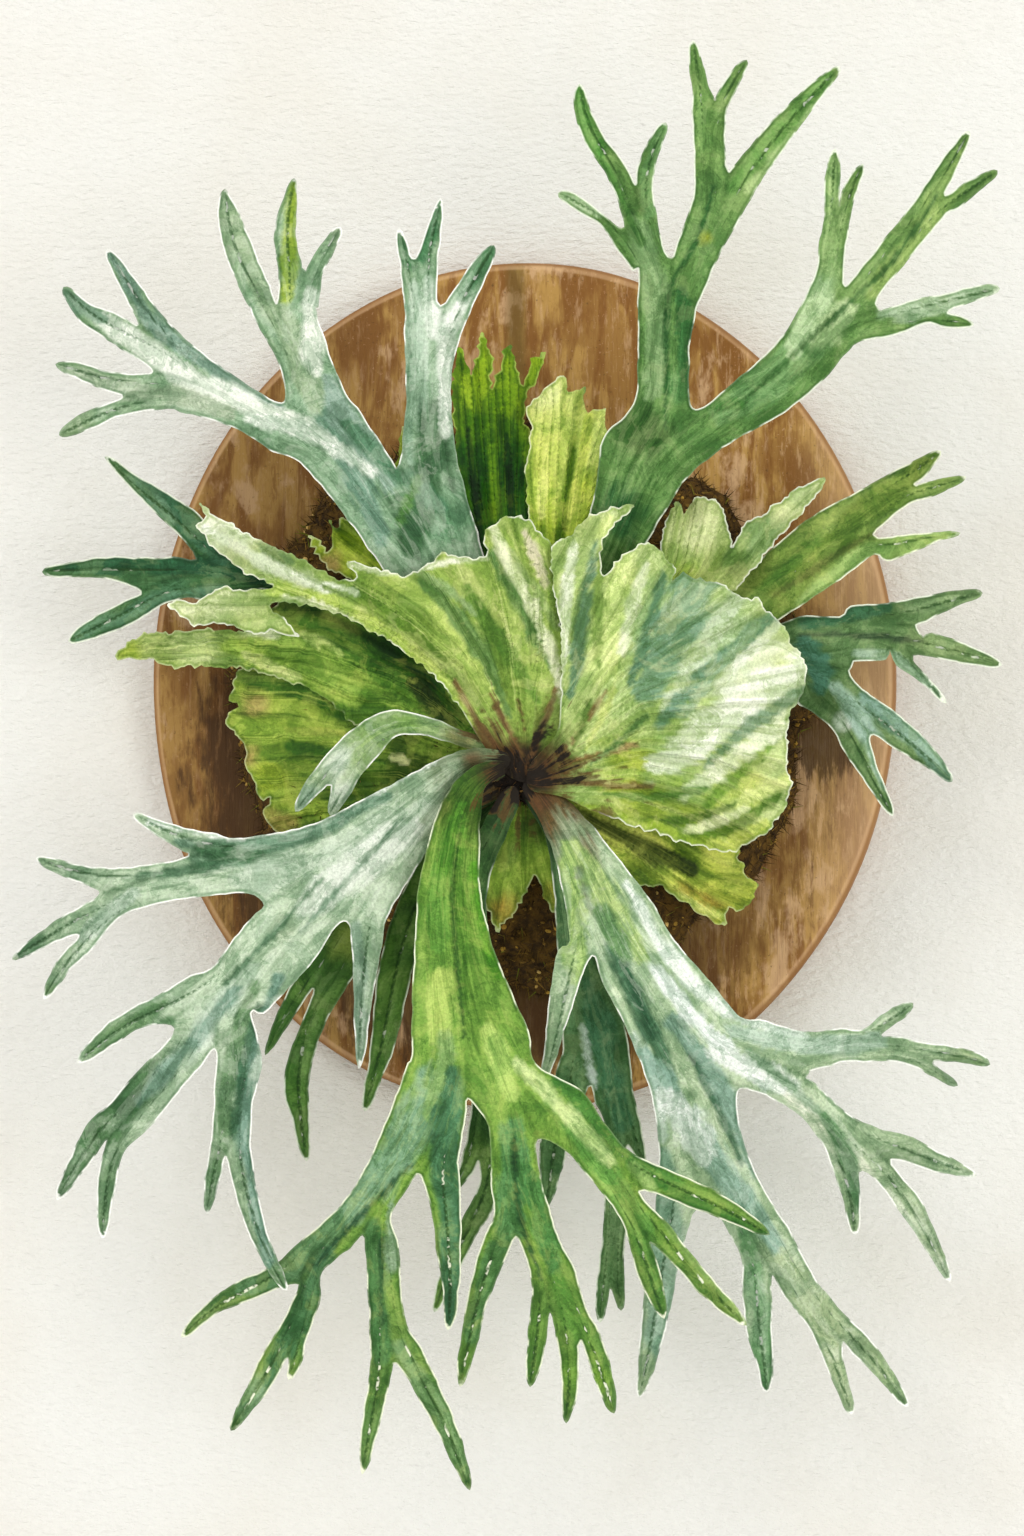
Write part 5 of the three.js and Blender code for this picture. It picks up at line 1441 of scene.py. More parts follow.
@dataclass
class MossBed:
    """The mound of peat and moss under the plant."""

    middle: tuple[float, float] = (-1.0, -12.0)
    radius: float = 143.0
    height: float = 48.0
    back: float = 22.35
    sides: int = 220
    rings: int = 60

    def build(self) -> bpy.types.Object:
        """Makes the mound with its lumps, fibres and crumbs.

        Returns:
            The mound.
        """
        turn = np.linspace(0, math.tau, self.sides, endpoint=False)
        around = np.column_stack([np.cos(turn), np.sin(turn)])
        ragged = (1 + 0.0145 * np.sin(9 * turn) + 0.0122 * np.sin(17 * turn + 1)
                  + 0.012 * ripple(around * 100, 17, 5) + 0.008 * ripple(around * 100, 7, 6))
        rings = []
        for share in np.sin(np.linspace(math.pi / 2, 0.02, self.rings)):
            flat = around * (self.radius * share * ragged)[:, None] + np.array(self.middle)
            rise = self.height * math.sqrt(max(0.0, 1 - share * share))
            lumps = 1.6 + 1.3 * ripple(flat, 22, 1) + 0.9 * ripple(flat, 9, 2) + 0.6 * ripple(flat, 4.5, 3)
            grow = min(1.0, rise / 12)
            rings.append(np.column_stack([flat[:, 0], -(self.back + rise + lumps * grow), flat[:, 1]]))
        finish = GrowthFinish("peat", 0x2C1E0C, 0x604618, 0x8C6A28, 0xB08A3C, 6.0)
        points, faces = stack(rings)
        made = mesh_object("moss_bed", points, faces, finish.material())
        carry(made, "tone", "FLOAT", np.full(len(points), 0.3))
        ride(made, "moss", "moss_mound")
        fibre = GrowthFinish("moss_fibre", 0x2C1E0C, 0x5A431C, 0x90702E, 0x787E26)
        crumb = GrowthFinish("peat_crumb", 0x3A2A10, 0x8A6A2C, 0xB8903A, 0xE0BC70)
        fibres = Scatter(Growth.FIBRE, density=120_000, length=7.0, width=0.34, lean=1.5, flatness=0.6,
                         seed=3)
        fibres.grow("moss_fibres", made, fibre.material(), "moss")
        crumbs = Scatter(Growth.CRUMB, density=21_000, length=2.0, width=1.5, lean=1.2, flatness=0.55, seed=8)
        crumbs.grow("peat_crumbs", made, crumb.material(), "moss")
        return made


@dataclass
class Crown:
    """The furry knob that every leaf grows from."""

    half_width: float = 23.0
    half_height: float = 15.0
    depths: tuple[float, float] = (60.0, 92.0)
    sides: int = 72
    rings: int = 34

    def build(self) -> bpy.types.Object:
        """Makes the knob and its papery scales.

        Returns:
            The knob.
        """
        turn = np.linspace(0, math.tau, self.sides, endpoint=False)
        middle, reach = sum(self.depths) / 2, (self.depths[1] - self.depths[0]) / 2
        rings = []
        for angle in np.linspace(0.06, math.pi - 0.06, self.rings):
            share = math.sin(angle) ** 0.7
            flat = np.column_stack([np.cos(turn) * self.half_width, np.sin(turn) * self.half_height]) * share
            bumps = 1 + 0.05 * np.sin(5 * turn + math.degrees(angle) * 0.05) + 0.05 * ripple(flat, 7, 4)
            flat = flat * bumps[:, None] + CROWN
            depth = np.full(self.sides, reach * math.cos(angle) - middle)
            rings.append(np.column_stack([flat[:, 0], depth, flat[:, 1]]))
        finish = GrowthFinish("crown_fur", 0x0C0804, 0x1C130A, 0x38260F, 0x4A3418, 4)
        points, faces = stack(rings)
        made = mesh_object("crown", points, faces, finish.material())
        carry(made, "tone", "FLOAT", np.full(len(points), 0.3))
        ride(made, "crown_fur", "rhizome_crown")
        scale = GrowthFinish("crown_scale", 0x100A04, 0x281A0B, 0x4E3618, 0x8C6A38)
        scales = Scatter(Growth.SCALE, density=260_000, length=5.0, width=0.7, lean=1.1, flatness=0.4, seed=5)
        scales.grow("crown_scales", made, scale.material(), "crown_fur")
        return made


@dataclass
class Studio:
    """The wall, the soft light and the camera at the picture's own place."""

    aim: tuple[float, float, float] = (-5.0, -22.0, -41.5)
    frame_height: float = 768.0
    sensor: float = 36.0
    wall_reach: float = 2600.0
    wall_gap: float = 0.8
    paper: int = 0xF4F3ED
    dim_paper: int = 0xF0EDE4
    paper_relief: float = 2.6

    def build(self) -> None:
        """Makes the wall, the lights and the camera."""
        self.camera()
        self.wall()
        self.lights()

    def camera(self) -> None:
        """Puts the camera where the picture was seen from."""
        data = bpy.data.cameras.new("view")
        made = linked("view", data)
        way = np.array(self.aim) - EYE
        made.location = (EYE * MM).tolist()
        made.rotation_euler = Vector(way.tolist()).to_track_quat("-Z", "Y").to_euler()
        data.sensor_width = self.sensor
        data.lens = self.sensor * float(np.linalg.norm(way)) / self.frame_height
        bpy.context.scene.camera = made

    def wall(self) -> None:
        """Makes a pale wall of rough paper, seen from the front only."""
        material = bpy.data.materials.new("wall_paper")
        graph = bare_graph(material)
        where = graph.place()
        grain = graph.noise(where, (0.16, 0.26, 0.36), 5, 0.66)
        tone = graph.noise(where, 0.006, 3, 0.6)
        colour = graph.lay(self.paper, (tone, 0.35, 0.7, 1.0, self.dim_paper))
        skin = graph.surface(Base_Color=colour, Roughness=0.95, Specular_IOR_Level=0.1,
                             Normal=graph.relief(grain, self.paper_relief * MM))
        clear = graph.out("ShaderNodeBsdfTransparent")
        rear = graph.out("ShaderNodeNewGeometry", None, None, "Backfacing")
        both = graph.out("ShaderNodeMixShader", None, {0: rear, 1: skin, 2: clear})
        graph.node("ShaderNodeOutputMaterial", None, {"Surface": both})
        ends = ((-1, -1), (1, -1), (1, 1), (-1, 1))
        corners = np.array([(x * self.wall_reach, self.wall_gap, z * self.wall_reach) for x, z in ends])
        made = mesh_object("wall", corners, [(0, 1, 2, 3)], material)
        made.visible_shadow = False

    def lights(self) -> None:
        """Lights the piece softly from the upper left, with pale light all round."""
        for name, place, size, power in (("key", (-2.6, -4.4, 3.0), 2.0, 74.0),
                                         ("fill", (3.0, -4.5, -0.3), 2.4, 70.0),
                                         ("rear", (0.6, 2.4, 1.2), 2.4, 40.0)):
            data = bpy.data.lights.new(name, "AREA")
            data.shape, data.size, data.energy = "DISK", size, power
            made = linked(name, data)
            made.location = place
            made.rotation_euler = (-Vector(place)).to_track_quat("-Z", "Y").to_euler()
        world = bpy.data.worlds.new("soft_light")
        bpy.context.scene.world = world
        graph = bare_graph(world)
        glow = graph.out("ShaderNodeBackground", None, {"Color": (1.0, 0.99, 0.97), "Strength": 0.96})
        graph.node("ShaderNodeOutputWorld", None, {"Surface": glow})
        bpy.context.scene.view_settings.view_transform = "Standard"


# ---- The leaves as drawn ----

SHIELD_PLANS: dict[str, ShieldPlan] = {
    "shield_right_fan": ShieldPlan(
        pleats=2, pleat_height=2.2, flutter=2, veins=(
            (6, -34, 98, 16, 10, 107, 20, 50, 113, 38, 84, 109),
            (8, -36, 98, 32, 10, 111, 50, 45, 119, 62, 70, 114),
            (10, -38, 98, 50, 5, 117, 85, 30, 125, 108, 47, 117),
            (12, -42, 98, 60, -10, 119, 105, 0, 127, 141, 8, 113),
            (12, -46, 98, 60, -28, 118, 100, -30, 123, 134, -42, 109),
            (12, -50, 98, 55, -45, 113, 90, -55, 115, 125, -73, 102),
            (10, -54, 98, 45, -58, 107, 75, -70, 106, 105, -84, 95),
        ), rim=(
            4, -40, 17, -25, 19, -12, 20, 8, 19.5, 26, 16, 46, 15, 69, 23, 74.5, 33, 84, 43, 88, 56, 90,
            50.5, 84, 45, 78, 40, 68, 39, 61, 41, 55, 49, 63.5, 55, 68, 61.5, 71, 66, 69.5, 70, 66,
            74, 61, 77, 58, 76, 52.5, 81, 55, 91, 52.5, 102, 49, 111, 43, 118, 43, 122, 36, 127, 33,
            133, 26, 135, 19.5, 139, 17, 142, 9, 142, 3, 139, -7, 134, -14, 133, -24, 133, -39, 135, -52,
            132, -61, 127, -68.5, 122, -74, 112, -80, 105, -84, 85, -80, 60, -72, 38, -64, 20, -56,
            4, -52,
        )),
    "shield_left_sweep": ShieldPlan(
        pleats=2, pleat_height=1.8, flutter=1.5, veins=(
            (4, -34, 94, 14, 10, 103, 15, 46, 108, 10, 68, 108),
            (2, -34, 94, 4, 15, 105, 2, 52, 109, -6, 84, 104),
            (0, -35, 94, -14, 12, 107, -24, 42, 110, -32, 64, 102),
            (-3, -36, 94, -24, 10, 108, -50, 38, 110, -82, 60, 102),
            (-5, -37, 94, -32, 4, 107, -72, 36, 109, -115, 58, 104, -162, 92, 98),
            (-8, -38, 94, -34, -2, 105, -75, 28, 104, -120, 40, 100, -178, 41, 95),
        ), rim=(
            4, -48, 12, -36, 18.5, -22, 21, -12, 21.5, 10, 21, 26, 18, 46, 17, 66, 10, 76, 1, 84, -8, 85,
            -12, 82, -17, 79.5, -19, 76, -19, 64, -33, 65.5, -40, 66, -46, 62, -53, 58, -59, 55, -72, 59,
            -84.5, 62, -88, 63, -84.5, 55, -92, 53, -99, 57, -111, 63, -126, 70.5, -142.6, 79, -150, 84,
            -154.5, 85.6, -162.6, 92.7, -160, 86, -164, 81, -157, 71.5, -147, 63, -136, 55, -126, 50,
            -140, 49, -150, 50, -158, 46, -166, 43, -173, 44.5, -179, 41, -172, 36, -165, 31, -150, 31,
            -135, 27, -125, 27, -112, 25, -119, 33, -127, 39, -122, 43, -110, 41, -92, 35, -79, 29,
            -65, 21, -50, 10, -40, 0, -30, -13, -22, -26, -14, -37, -6, -46,
        )),
    "shield_left_under": ShieldPlan(
        pleats=1.5, pleat_height=1.5, flutter=1.5, veins=(
            (-8, -36, 76.5, -50, 2, 78, -100, 24, 75, -150, 28, 69, -199, 22, 64),
            (-9, -38, 76.5, -60, -4, 77, -110, 12, 73, -160, 19, 66, -206, 15, 60),
            (-10, -40, 76.5, -60, -14, 76, -88, -16, 72, -121, 3, 67, -160, 10, 62, -194, 14, 60),
        ), rim=(
            -6, -34, -20, -15, -33, -3, -45, 9, -60, 26, -75, 37, -92, 44, -110, 46, -122, 42, -130, 35,
            -136, 29, -142.6, 28, -160, 29, -175, 28, -187, 27, -199, 22, -206, 15, -194.6, 14, -186, 13,
            -175, 10, -160, 10, -147, 9, -134, 7.6, -121, 3, -110, 0, -99, -6.5, -90, -14, -83, -20,
            -72, -19, -58, -18, -40, -22, -20, -34, -8, -42,
        )),
    "shield_left_back": ShieldPlan(
        pleats=1.5, pleat_height=1.4, flutter=1.6, veins=(
            (-12, -40, 74, -60, -12, 72, -110, 5, 64, -142, 7, 55),
            (-12, -44, 74, -70, -25, 71, -115, -15, 62, -149, -14, 50),
            (-12, -48, 74, -70, -38, 70, -110, -36, 62, -139, -38, 50),
            (-10, -52, 74, -62, -50, 70, -100, -53, 63, -131, -58, 50),
            (-8, -56, 74, -48, -60, 71, -85, -68, 64, -120, -76, 49),
        ), rim=(
            -10, -40, -45, -12, -90, 8, -125, 12, -142, 7.5, -147, -5, -144, -10, -149.5, -14, -147, -23,
            -142, -26, -138, -33, -140, -39, -135.5, -45.5, -134, -52, -130, -57, -127, -56, -130, -64,
            -125, -72, -112, -80, -92, -78, -70, -70, -45, -64, -12, -58,
        )),
    "shield_top_dark": ShieldPlan(
        pleats=1, pleat_height=1.6, veins=(
            (-5, -36, 75, -14, 40, 75, -25, 95, 70, -31, 168, 58),
            (-2, -36, 75, -7, 35, 76, -14, 95, 71, -19, 174, 60),
            (0, -36, 75, -2, 35, 76, -5, 95, 71, -7, 168, 60),
            (2, -36, 75, 1, 35, 76, 1, 95, 71, 9, 164, 59),
        ), rim=(
            -8, -38, -13, 20, -22, 65, -31, 100, -35, 140, -34, 160, -31.5, 170, -28, 163, -25.5, 156,
            -23, 165, -20, 177, -17.5, 171, -14.5, 164, -16, 154, -15, 149, -12, 157, -8.5, 168,
            -6, 170.5, -3.5, 163, -1, 154, 0.5, 151, 4, 160, 9.5, 167, 12, 164, 8, 155, 3, 146, 1, 135,
            5, 118, 5, 80, 4, 30, 4, -38,
        )),
    "shield_top_lime": ShieldPlan(
        pleats=1, pleat_height=1.8, veins=(
            (4, -36, 80, 8, 30, 81, 6, 75, 80, 4, 110, 77, 8, 142, 72),
            (6, -36, 80, 14, 30, 81, 17, 75, 80, 18, 115, 77, 20, 154, 70),
            (8, -36, 80, 20, 30, 81, 27, 75, 80, 34, 112, 77, 42, 136, 71),
            (10, -36, 80, 25, 30, 81, 35, 70, 80, 45, 98, 78, 51, 127, 72),
        ), rim=(
            2, -40, 4, 20, 4, 75, 2, 100, 3, 120, 5, 130, 1.5, 138, 4, 141, 10, 147, 15, 152, 20, 156,
            22, 154, 22, 148, 29, 148, 32, 150, 31.5, 143, 33, 136, 38, 138, 42, 138.5, 41, 131,
            42, 126.5, 48, 128, 51, 127, 54, 112, 48, 90, 38, 62, 27, 30, 14, -30, 8, -40,
        )),
    "shield_jagged": ShieldPlan(
        pleats=1, pleat_height=1.5, veins=(
            (-10, -34, 78.6, -44, 14, 79, -78, 52, 75, -107, 74, 68),
            (-8, -34, 78.6, -38, 25, 79, -65, 72, 75, -86, 90, 68),
            (-6, -34, 78.6, -32, 30, 79, -48, 80, 76, -60, 128, 69),
        ), rim=(
            -12, -38, -30, -6, -60, 32, -85, 52, -98, 60, -108, 75, -101, 73, -99, 67, -95, 74, -97, 83,
            -93, 79, -91, 85, -84, 82, -78, 96, -71, 92, -69, 112, -64, 108, -60, 130, -54, 116, -46, 112,
            -38, 84, -28, 44, -17, 0, -4, -38,
        )),
    "shield_upper_right": ShieldPlan(
        pleats=1, pleat_height=1.5, flutter=1.5, veins=(
            (6, -38, 91, 40, 20, 93, 72, 58, 94, 78, 90, 90),
            (8, -38, 91, 48, 16, 93, 85, 58, 94, 92, 92, 89),
            (10, -40, 91, 60, 12, 93.5, 102, 54, 95, 130, 82, 98, 152, 102, 104),
        ), rim=(
            6, -42, 20, -10, 42, 30, 60, 46, 68, 60, 70, 76, 77, 91, 81, 85, 84, 92, 91, 94, 99, 90,
            103, 79, 105, 68, 109, 77, 118, 84, 133, 94, 144, 101, 152, 102, 146, 93, 133, 78, 125, 69,
            114, 55, 104, 44, 80, 20, 50, -6, 16, -42,
        )),
    "shield_lower_right": ShieldPlan(
        pleats=1, pleat_height=1.5, flutter=1.4, veins=(
            (8, -52, 82, 60, -76, 80, 95, -96, 74, 118, -101, 67),
            (6, -54, 82, 50, -80, 80, 80, -104, 72, 99, -118, 63),
        ), rim=(
            8, -50, 40, -56, 80, -66, 104, -76, 109, -86, 112, -95, 118, -99, 117, -105, 111, -112.5,
            104, -112, 101, -120, 93, -117, 84, -111, 75.5, -105, 67, -101, 58, -100, 40, -88, 24, -72,
            6, -56,
        )),
    "shield_lower_centre": ShieldPlan(
        pleats=1, pleat_height=1.5, flutter=1.2, veins=(
            (-2, -56, 79, -8, -90, 78, -13, -121, 70),
            (4, -56, 79, 10, -88, 78, 16, -114, 70),
        ), rim=(
            -10, -52, -19, -66, -22, -85, -20, -102, -17, -114, -13, -123, -9, -119, -5, -116, -1, -110,
            3, -102, 6, -95, 9, -99, 11, -107, 17, -115, 21, -106, 24, -90, 22, -72, 12, -54,
        )),
}

FROND_PLANS: dict[str, FrondPlan] = {
    "frond_upper_left": FrondPlan(
        rise=(0, 82.6, 60, 85.5, 118, 92, 175, 112, 240, 138, 330, 132),
        trunk=Arm((0, -40, 6, -12, -5, 10, -30, 35, 19, -45, 66, 25), Fork(-62, 111,
          Arm((-46, 111, 14, -47, 140, 11.5, -46.5, 165, 12.5), Fork(-39, 192,
            Arm((-51, 192, 8.5), Fork(-54, 215,
              Arm((-58, 215, 4), (-62, 230)),
              Arm((-47.5, 215, 5.5), (-41, 245)))),
            Arm((-31, 192, 6.5, -22, 208, 5), (-14, 221), 8))),
          Arm((-80, 103, 18, -97, 125, 20), Fork(-120, 143,
            Arm((-104, 145, 15, -110, 165, 13, -118, 185, 15), Fork(-124, 193,
              Arm((-131, 193, 7, -143, 215, 5.5, -149, 235, 4.5), (-150, 251), -10),
              Arm((-113, 193, 10.5), Fork(-109, 209,
                Arm((-117, 210, 6, -119.5, 230, 5.3), (-115, 256), 9),
                Arm((-104.5, 209, 4.5, -97, 222, 3.5), (-91.5, 231))))), 5),
            Arm((-119.5, 129.5, 13, -140, 140, 11, -163, 151, 15), Fork(-187, 159,
              Arm((-177, 171, 8), Fork(-194, 183,
                Arm((-189, 187, 6, -199, 203, 4.5), (-210, 221), 8),
                Arm((-206, 181, 7, -221, 189.5, 5), (-232, 202)))),
              Arm((-180, 149, 9), Fork(-202, 146,
                Arm((-212, 155, 4.8, -225, 160, 4), (-236, 163)),
                Arm((-205, 141, 5, -220, 134, 4.5), (-234, 127), -8)))), -6)))))),
    "frond_upper_right": FrondPlan(
        rise=(0, 85.4, 60, 87, 125, 94, 190, 122, 290, 155, 400, 140),
        trunk=Arm((4, -38, 6, 16, 0, 10, 30, 38, 14, 45, 70, 15, 55, 95, 19, 63, 115, 24), Fork(87, 138,
          Arm((70, 140, 14, 71, 165, 13, 73, 190, 15, 76, 205, 18), Fork(75, 214,
            Arm((63, 214, 10), Fork(50, 229,
              Arm((47, 230, 6, 40, 236, 4.5, 28, 242, 3.5), (18, 247), -8),
              Arm((58, 240, 9), Fork(57, 251,
                Arm((48, 257, 5.5, 37, 273, 5, 30.5, 288, 4), (29, 302), 10),
                Arm((62, 258, 4.5, 68, 274, 3.4), (72.5, 282)))))),
            Arm((88, 217, 11, 97.5, 238.5, 13), Fork(104, 257,
              Arm((94.5, 260, 8, 94, 285, 8.5), Fork(97, 293,
                Arm((90, 298, 4.5, 87.5, 310, 3.4), (86, 323), 8),
                Arm((102, 295, 4, 107, 304, 3.4), (113, 313)))),
              Arm((112, 254, 8, 128, 275, 6.8, 142, 291, 5.2, 150.5, 300, 3.8), (159.5, 309), -10))))),
          Arm((100, 133, 13, 120, 145, 14, 138, 160, 15, 150, 175, 16), Fork(162, 199,
            Arm((154, 205, 7, 156, 222, 6.8, 158, 233, 6.6), Fork(159, 239,
              Arm((155.5, 250, 3.8), (157, 268), 7),
              Arm((164, 246, 3.5), (171, 260)))),
            Arm((165, 183, 13), Fork(179, 187,
              Arm((172, 198, 8, 185, 214, 8, 199, 231, 8, 206, 240, 8.5), Fork(212, 244,
                Arm((211, 254, 5, 218, 266, 3.5), (224, 276)),
                Arm((216, 241, 4.5, 227, 249, 3.5), (238, 256))), 6),
              Arm((185, 181, 7, 200, 186, 6.5), Fork(213, 185,
                Arm((215, 191, 4, 228, 195, 3.5), (239, 197)),
                Arm((214, 181, 3.5), (226, 179))), -8)))))))),
    "frond_mid_left": FrondPlan(
        rise=(0, 79.8, 40, 81, 70, 82.6, 110, 83.5, 180, 82, 210, 85, 260, 102),
        trunk=Arm((-6, -42, 4, -24, -8, 4.5, -46, 22, 5, -76, 41, 5, -106, 50, 5.5, -134, 55, 6.5,
            -155, 57, 13), Fork(-166, 68,
          Arm((-168, 79, 9, -185, 93, 7, -200, 104, 5), (-211, 116), 12),
          Arm((-172, 55, 11), Fork(-192.5, 48,
            Arm((-190, 58.5, 6.5, -210, 60, 5.5, -230, 59, 3.5), (-242.5, 58), 6),
            Arm((-183, 47, 6, -198, 38, 6, -215, 30, 5), (-229, 23), -6)))))),
    "frond_right_lime": FrondPlan(
        rise=(0, 88.4, 80, 88, 140, 87, 190, 97, 260, 118),
        trunk=Arm((6, -40, 5, 50, -2, 8, 90, 24, 11, 118, 42, 14, 135, 55, 16, 155, 70, 17, 168, 78, 16),
            Fork(178, 73,
          Arm((178, 90, 10, 190, 98, 9.5), Fork(197, 99,
            Arm((197, 106, 5), (209.5, 116), 6),
            Arm((203, 97, 4.5, 212, 100, 3.4), (222, 103)))),
          Arm((181, 68, 7, 195, 71, 5.5, 208, 75, 4), (219, 75), -6)))),
    "frond_right_teal": FrondPlan(
        rise=(0, 80, 80, 81, 140, 82, 180, 88, 250, 80),
        trunk=Arm((6, -46, 5, 60, -10, 7, 100, 6, 10, 122, 12, 14, 140, 16, 18, 148, 12, 24),
            Fork(164.5, 8,
          Arm((165, 25, 14, 181, 26, 14), Fork(197, 29,
            Arm((200, 37, 6.5, 215, 42, 4), (230, 45), 6),
            Arm((192, 20, 9), Fork(195.5, 11.5,
              Arm((203, 19.5, 6, 218, 15.5, 5), (239.5, 9)),
              Arm((190, 13, 5, 198, 7, 4.5, 206, -1, 3.5), (212, -10), -6))))),
          Arm((155, -5, 13, 165, -15, 13), Fork(174.5, -26,
            Arm((180, -18, 7, 192, -28, 7, 204, -38, 4.5), (214.6, -49)),
            Arm((167, -30, 7.5, 174, -45, 4.5), (185, -66), -8)))))),
    "frond_lower_left": FrondPlan(
        rise=(0, 96, 40, 106, 110, 138, 200, 160, 285, 146, 360, 120),
        trunk=Arm((-8, -38, 4, -25, -36, 4.5, -36, -44, 9, -51, -59, 16, -65, -72, 21, -80, -86, 27),
            Fork(-130, -110,
          Arm((-110, -86, 15, -140, -90, 14), Fork(-168, -85,
            Arm((-155, -80, 6, -172, -76, 5.5, -185, -70, 3.5), (-196, -64), -8),
            Arm((-165, -97, 9, -184, -99, 10), Fork(-213, -104,
              Arm((-208, -96, 5, -222, -94, 4.5, -235, -90, 3.4), (-245, -86), 6),
              Arm((-207, -111, 6.5), Fork(-223.5, -125,
                Arm((-226, -118, 5, -240, -126, 4), (-257, -137)),
                Arm((-219, -127, 5, -231, -140, 4), (-241, -157), -8))))))),
          Arm((-86, -95, 26, -91, -102, 28), Fork(-87, -120,
            Arm((-77, -122, 8, -80, -150, 6, -81, -170, 4), (-82, -192), -12),
            Arm((-120, -127, 19, -132, -140, 18.5, -143, -153, 17.5), Fork(-179, -169.5,
              Arm((-163, -152, 8, -179, -161, 7.5, -195, -167, 5.5, -209, -176, 5), (-224, -189), 8),
              Arm((-153, -163, 17), Fork(-154, -183,
                Arm((-168, -182, 10.5, -187, -203, 11.5, -198, -216, 11.5), Fork(-209, -227.5,
                  Arm((-213, -222, 6, -223, -238, 4.5), (-234, -258), -6),
                  Arm((-205, -232, 5, -209, -250, 4.5), (-211, -277), 6))),
                Arm((-142, -185, 11.5, -145, -208, 10, -146, -226, 10), Fork(-149, -236,
                  Arm((-153, -235, 4.5, -156, -250, 3.4), (-158, -264), -6),
                  Arm((-142, -237, 6.5, -138, -255, 5.5, -132, -275, 4.5, -125, -290, 3.4),
                      (-118, -302.5), 6)))))))))))),
    "frond_curled": FrondPlan(
        rise=(0, 89, 40, 94, 80, 102, 130, 92), wave=0.6,
        trunk=Arm((-8, -34, 3.5, -32, -26, 4, -50, -20, 5, -65, -19, 7, -77, -27, 9, -88, -38, 10),
            Fork(-98, -50,
          Arm((-102, -49, 6), (-114, -63), -6),
          Arm((-92, -55, 4.5), (-96.5, -65))))),
    "frond_bottom_centre": FrondPlan(
        rise=(0, 97, 40, 116, 100, 158, 180, 185, 235, 172, 290, 135, 370, 105),
        trunk=Arm((-10, -42, 4, -22, -46, 6, -30, -60, 10, -34, -80, 13, -36.5, -102, 15.5, -35, -127, 19,
            -31.5, -152, 24, -26, -179, 30), Fork(-27, -207,
          Arm((-41, -193, 17, -45, -208, 18, -50, -225, 20), Fork(-51, -245,
            Arm((-41, -240, 9.5, -38, -262, 7.5, -36.5, -285, 6, -35.5, -303, 4), (-37, -322), 6),
            Arm((-66, -243, 12, -76, -260, 12), Fork(-80, -275,
              Arm((-92, -274, 9.5, -106, -286, 9.5), Fork(-112, -299.5,
                Arm((-122, -295, 6, -140, -303, 5.5, -156, -312, 3.5), (-171, -326), -8),
                Arm((-107, -305, 6.3, -114, -322, 7.4), Fork(-117.5, -336.5,
                  Arm((-113.5, -338, 2.8), (-117, -347), 5),
                  Arm((-124.5, -338, 7, -131.5, -349.5, 5.4, -138.8, -361, 3.6), (-146, -372.5))))), -6),
              Arm((-70, -280, 8.5, -69, -300, 8.5, -67, -320, 9.5), Fork(-63, -338.5,
                Arm((-71, -345, 5.5, -75, -365, 4.5), (-80, -394), -6),
                Arm((-56, -335, 7, -47, -352, 6, -37, -372, 5), (-26, -401.5), 10))))))),
          Arm((-8, -197, 17), Fork(8, -227,
            Arm((-5, -220, 12, -3.5, -245, 12.3, -0.5, -262, 14), Fork(-3, -275.6,
              Arm((-11, -275, 7, -17, -290, 6.5, -23, -310, 5, -27, -330, 4), (-31, -350), -6),
              Arm((9, -278, 9.5, 15.5, -295, 11.2), Fork(14, -313,
                Arm((9, -312, 5, 7, -330, 4.5), (4, -350), 6),
                Arm((24, -311, 8), Fork(29.5, -327,
                  Arm((23, -330, 5, 24, -348, 4), (22, -368), -6),
                  Arm((35, -330, 6, 41, -346, 4.5), (46, -363), 6))))))),
            Arm((20, -211, 13, 31, -225, 12, 44, -240, 12), Fork(61, -252,
              Arm((65, -245, 6, 85, -254, 6.5, 103, -262, 5), (123.6, -274), 6),
              Arm((54, -260, 7.5), Fork(64, -278,
                Arm((69, -272, 5, 80.8, -287, 5, 94, -302, 4.6), (112, -319), 8),
                Arm((58, -276, 5, 64, -295, 5.5), (71, -316), -4)))), 10)))))),
    "frond_bottom_right": FrondPlan(
        rise=(0, 91.5, 50, 106, 120, 136, 175, 140, 235, 122, 330, 92),
        trunk=Arm((4, -48, 5, 14, -60, 8, 26, -78, 12, 36, -98, 17, 45, -119, 23), Fork(33, -138,
          Arm((26, -134, 8, 22, -154, 8, 17, -178, 5.5), (11, -200), -12),
          Arm((58, -138, 21, 73, -160, 24, 85, -180, 28), Fork(109, -202,
            Arm((85, -205, 20, 89, -228, 21), Fork(92, -260,
              Arm((76, -262, 9.5, 71, -285, 8, 67, -310, 7, 63, -335, 4.5), (58.5, -355), -8),
              Arm((108, -255, 13, 121, -278, 14), Fork(125, -294,
                Arm((117, -300, 7.5, 118, -320, 6.5, 121, -338, 4), (122, -352), -4),
                Arm((137, -298, 9, 150, -315, 9), Fork(160, -327,
                  Arm((168, -328, 5.5, 180, -342, 4), (192, -359), 8),
                  Arm((155, -335, 5, 160, -350, 3.4), (164, -363), -4))))))),
            Arm((114, -184, 18), Fork(142, -196,
              Arm((142, -183, 10, 160, -180, 8.5, 170, -180, 8), Fork(179, -175,
                Arm((182, -169, 5, 189, -163, 3.5), (195, -159), 6),
                Arm((188, -182, 6.5, 199, -185, 6.5), Fork(205, -189,
                  Arm((212, -184, 4, 224, -186, 3.4), (233, -189.5)),
                  Arm((207, -193, 3.5), (217, -200), -5)))), 10),
              Arm((140, -205, 9, 155, -220, 9.5), Fork(168, -243,
                Arm((160, -240, 5.5, 164.5, -258, 4), (166, -274), -6),
                Arm((170, -228, 9.5), Fork(184, -239,
                  Arm((190, -231, 6.5, 205, -237, 5), (226, -244.5), 8),
